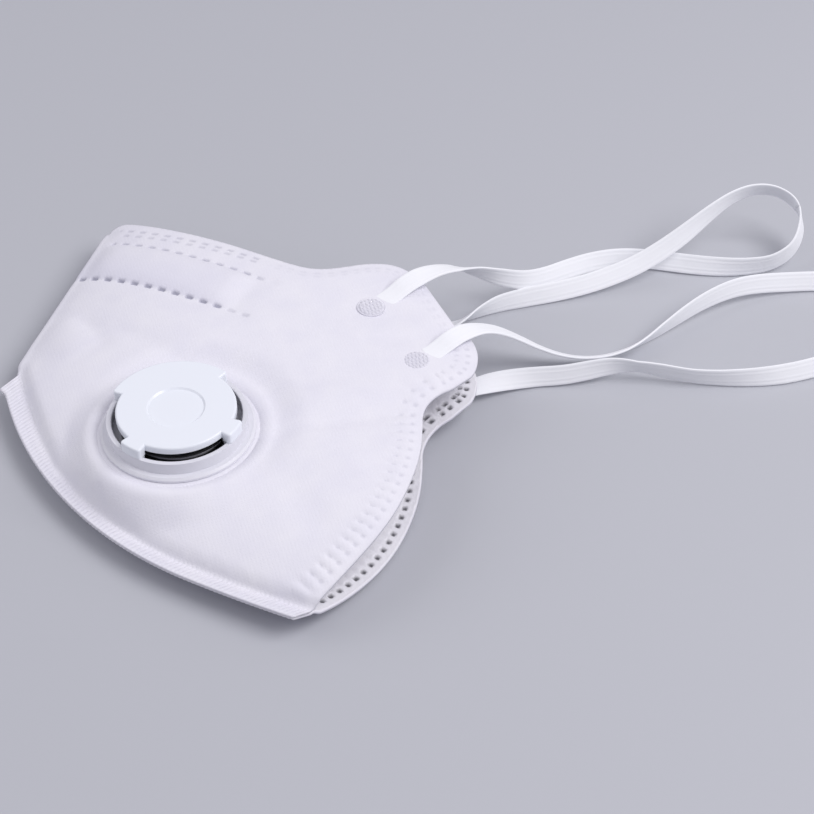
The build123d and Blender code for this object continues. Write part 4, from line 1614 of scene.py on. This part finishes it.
# ------------------------------------------------------------------ carried-over pieces
@dataclass(frozen=True)
class HardPieces:
    """The valve's pieces, which keep their solids and get their finishes."""

    finishes: tuple[tuple[str, Material], ...] = (
        ("valve_base", Material.CHAMBER),
        ("valve_cover", Material.VALVE),
        ("valve_backing_ring", Material.VALVE),
        ("valve_diaphragm", Material.SILICONE),
    )

    def build(self) -> None:
        """Gives each solid its material."""
        for node, material in self.finishes:
            for slot in frame["nodes"][node].material_slots:
                slot.material = material.built()
            log.info("%s: %s", node, material.value.name)


# ------------------------------------------------------------------ studio
@dataclass(frozen=True)
class Lamp:
    """A soft square lamp, in metres and watts."""

    name: str
    place: Place
    aim: Place
    size: float
    power: float
    colour: Colour

    def build(self) -> None:
        """Adds the lamp."""
        data = bpy.data.lights.new(self.name, "AREA")
        data.shape, data.size, data.energy, data.color = "SQUARE", self.size, self.power, self.colour
        lamp = placed(self.name, data)
        lamp.location = self.place
        lamp.rotation_euler = (Vector(self.aim) - Vector(self.place)).to_track_quat("-Z", "Y").to_euler()


@dataclass(frozen=True)
class Studio:
    """Camera, soft lights and a plain pale floor."""

    camera_place: Place = (-0.1250, -0.4546, 0.4491)
    camera_aim: Place = (0.2592, 0.6775, -0.6884)
    lens: float = 100.0
    floor_size: float = 6.0
    floor_colour: Colour = (0.52, 0.53, 0.57)
    floor_drop: float = 0.0002
    lamps: tuple[Lamp, ...] = (
        Lamp("key", (0.62, -0.42, 0.92), (0.03, 0.0, 0.0), 0.7, 8.6, (1.0, 0.985, 1.0)),
        Lamp("fill", (-0.8, 0.5, 0.8), (0.0, 0.0, 0.0), 1.0, 3.5, (0.99, 0.98, 1.0)),
    )
    world_colour: Colour = (0.92, 0.91, 1.0)
    world_strength: float = 0.45

    def camera(self) -> None:
        """Sets the camera."""
        data = bpy.data.cameras.new("camera")
        data.lens, data.sensor_width = self.lens, 36.0
        data.clip_start, data.clip_end = 0.01, 50.0
        camera = placed("camera", data)
        camera.location = self.camera_place
        camera.rotation_euler = Vector(self.camera_aim).to_track_quat("-Z", "Y").to_euler()
        bpy.context.scene.camera = camera

    def build(self) -> None:
        """Makes the floor, the lamps and the world."""
        h = self.floor_size / 2
        mesh = bpy.data.meshes.new("floor")
        mesh.from_pydata([(-h, -h, 0), (h, -h, 0), (h, h, 0), (-h, h, 0)], [], [(0, 1, 2, 3)])
        g = Graph("floor_gloss")
        place = g.read(g.node("ShaderNodeTexCoord"), "Object")
        tone = g.noise(place, 1.2, 2.0)
        colour = g.mix(tone, self.floor_colour, tuple(c * 0.97 for c in self.floor_colour))
        fixed = {"Roughness": 0.28, "Specular IOR Level": 0.4}
        mesh.materials.append(g.finish({"Base Color": colour}, fixed))
        floor = placed("floor", mesh)
        floor.location.z = -self.floor_drop
        for lamp in self.lamps:
            lamp.build()
        world = bpy.data.worlds.new("soft_room")
        world.use_nodes = True
        background = world.node_tree.nodes["Background"]
        background.inputs[0].default_value = Graph.rgba(self.world_colour)
        background.inputs[1].default_value = self.world_strength
        bpy.context.scene.world = world
        bpy.context.scene.view_settings.view_transform = "Standard"


def main() -> None:
    """Builds the camera, the straps and every piece in order."""
    logging.basicConfig(level=logging.INFO)
    studio = Studio()
    studio.camera()
    for strap in (UPPER_STRAP, LOWER_STRAP):
        strap.build()
    form = MaskForm()
    FabricBody(form).build()
    for half in Half:
        StrapWeld("upper", half, (42.1, 11.1), turn=12.0).build(form)
        StrapWeld("lower", half, (46.2, -14.9), turn=4.0).build(form)
    HardPieces().build()
    studio.build()


if __name__ == "__main__":
    main()
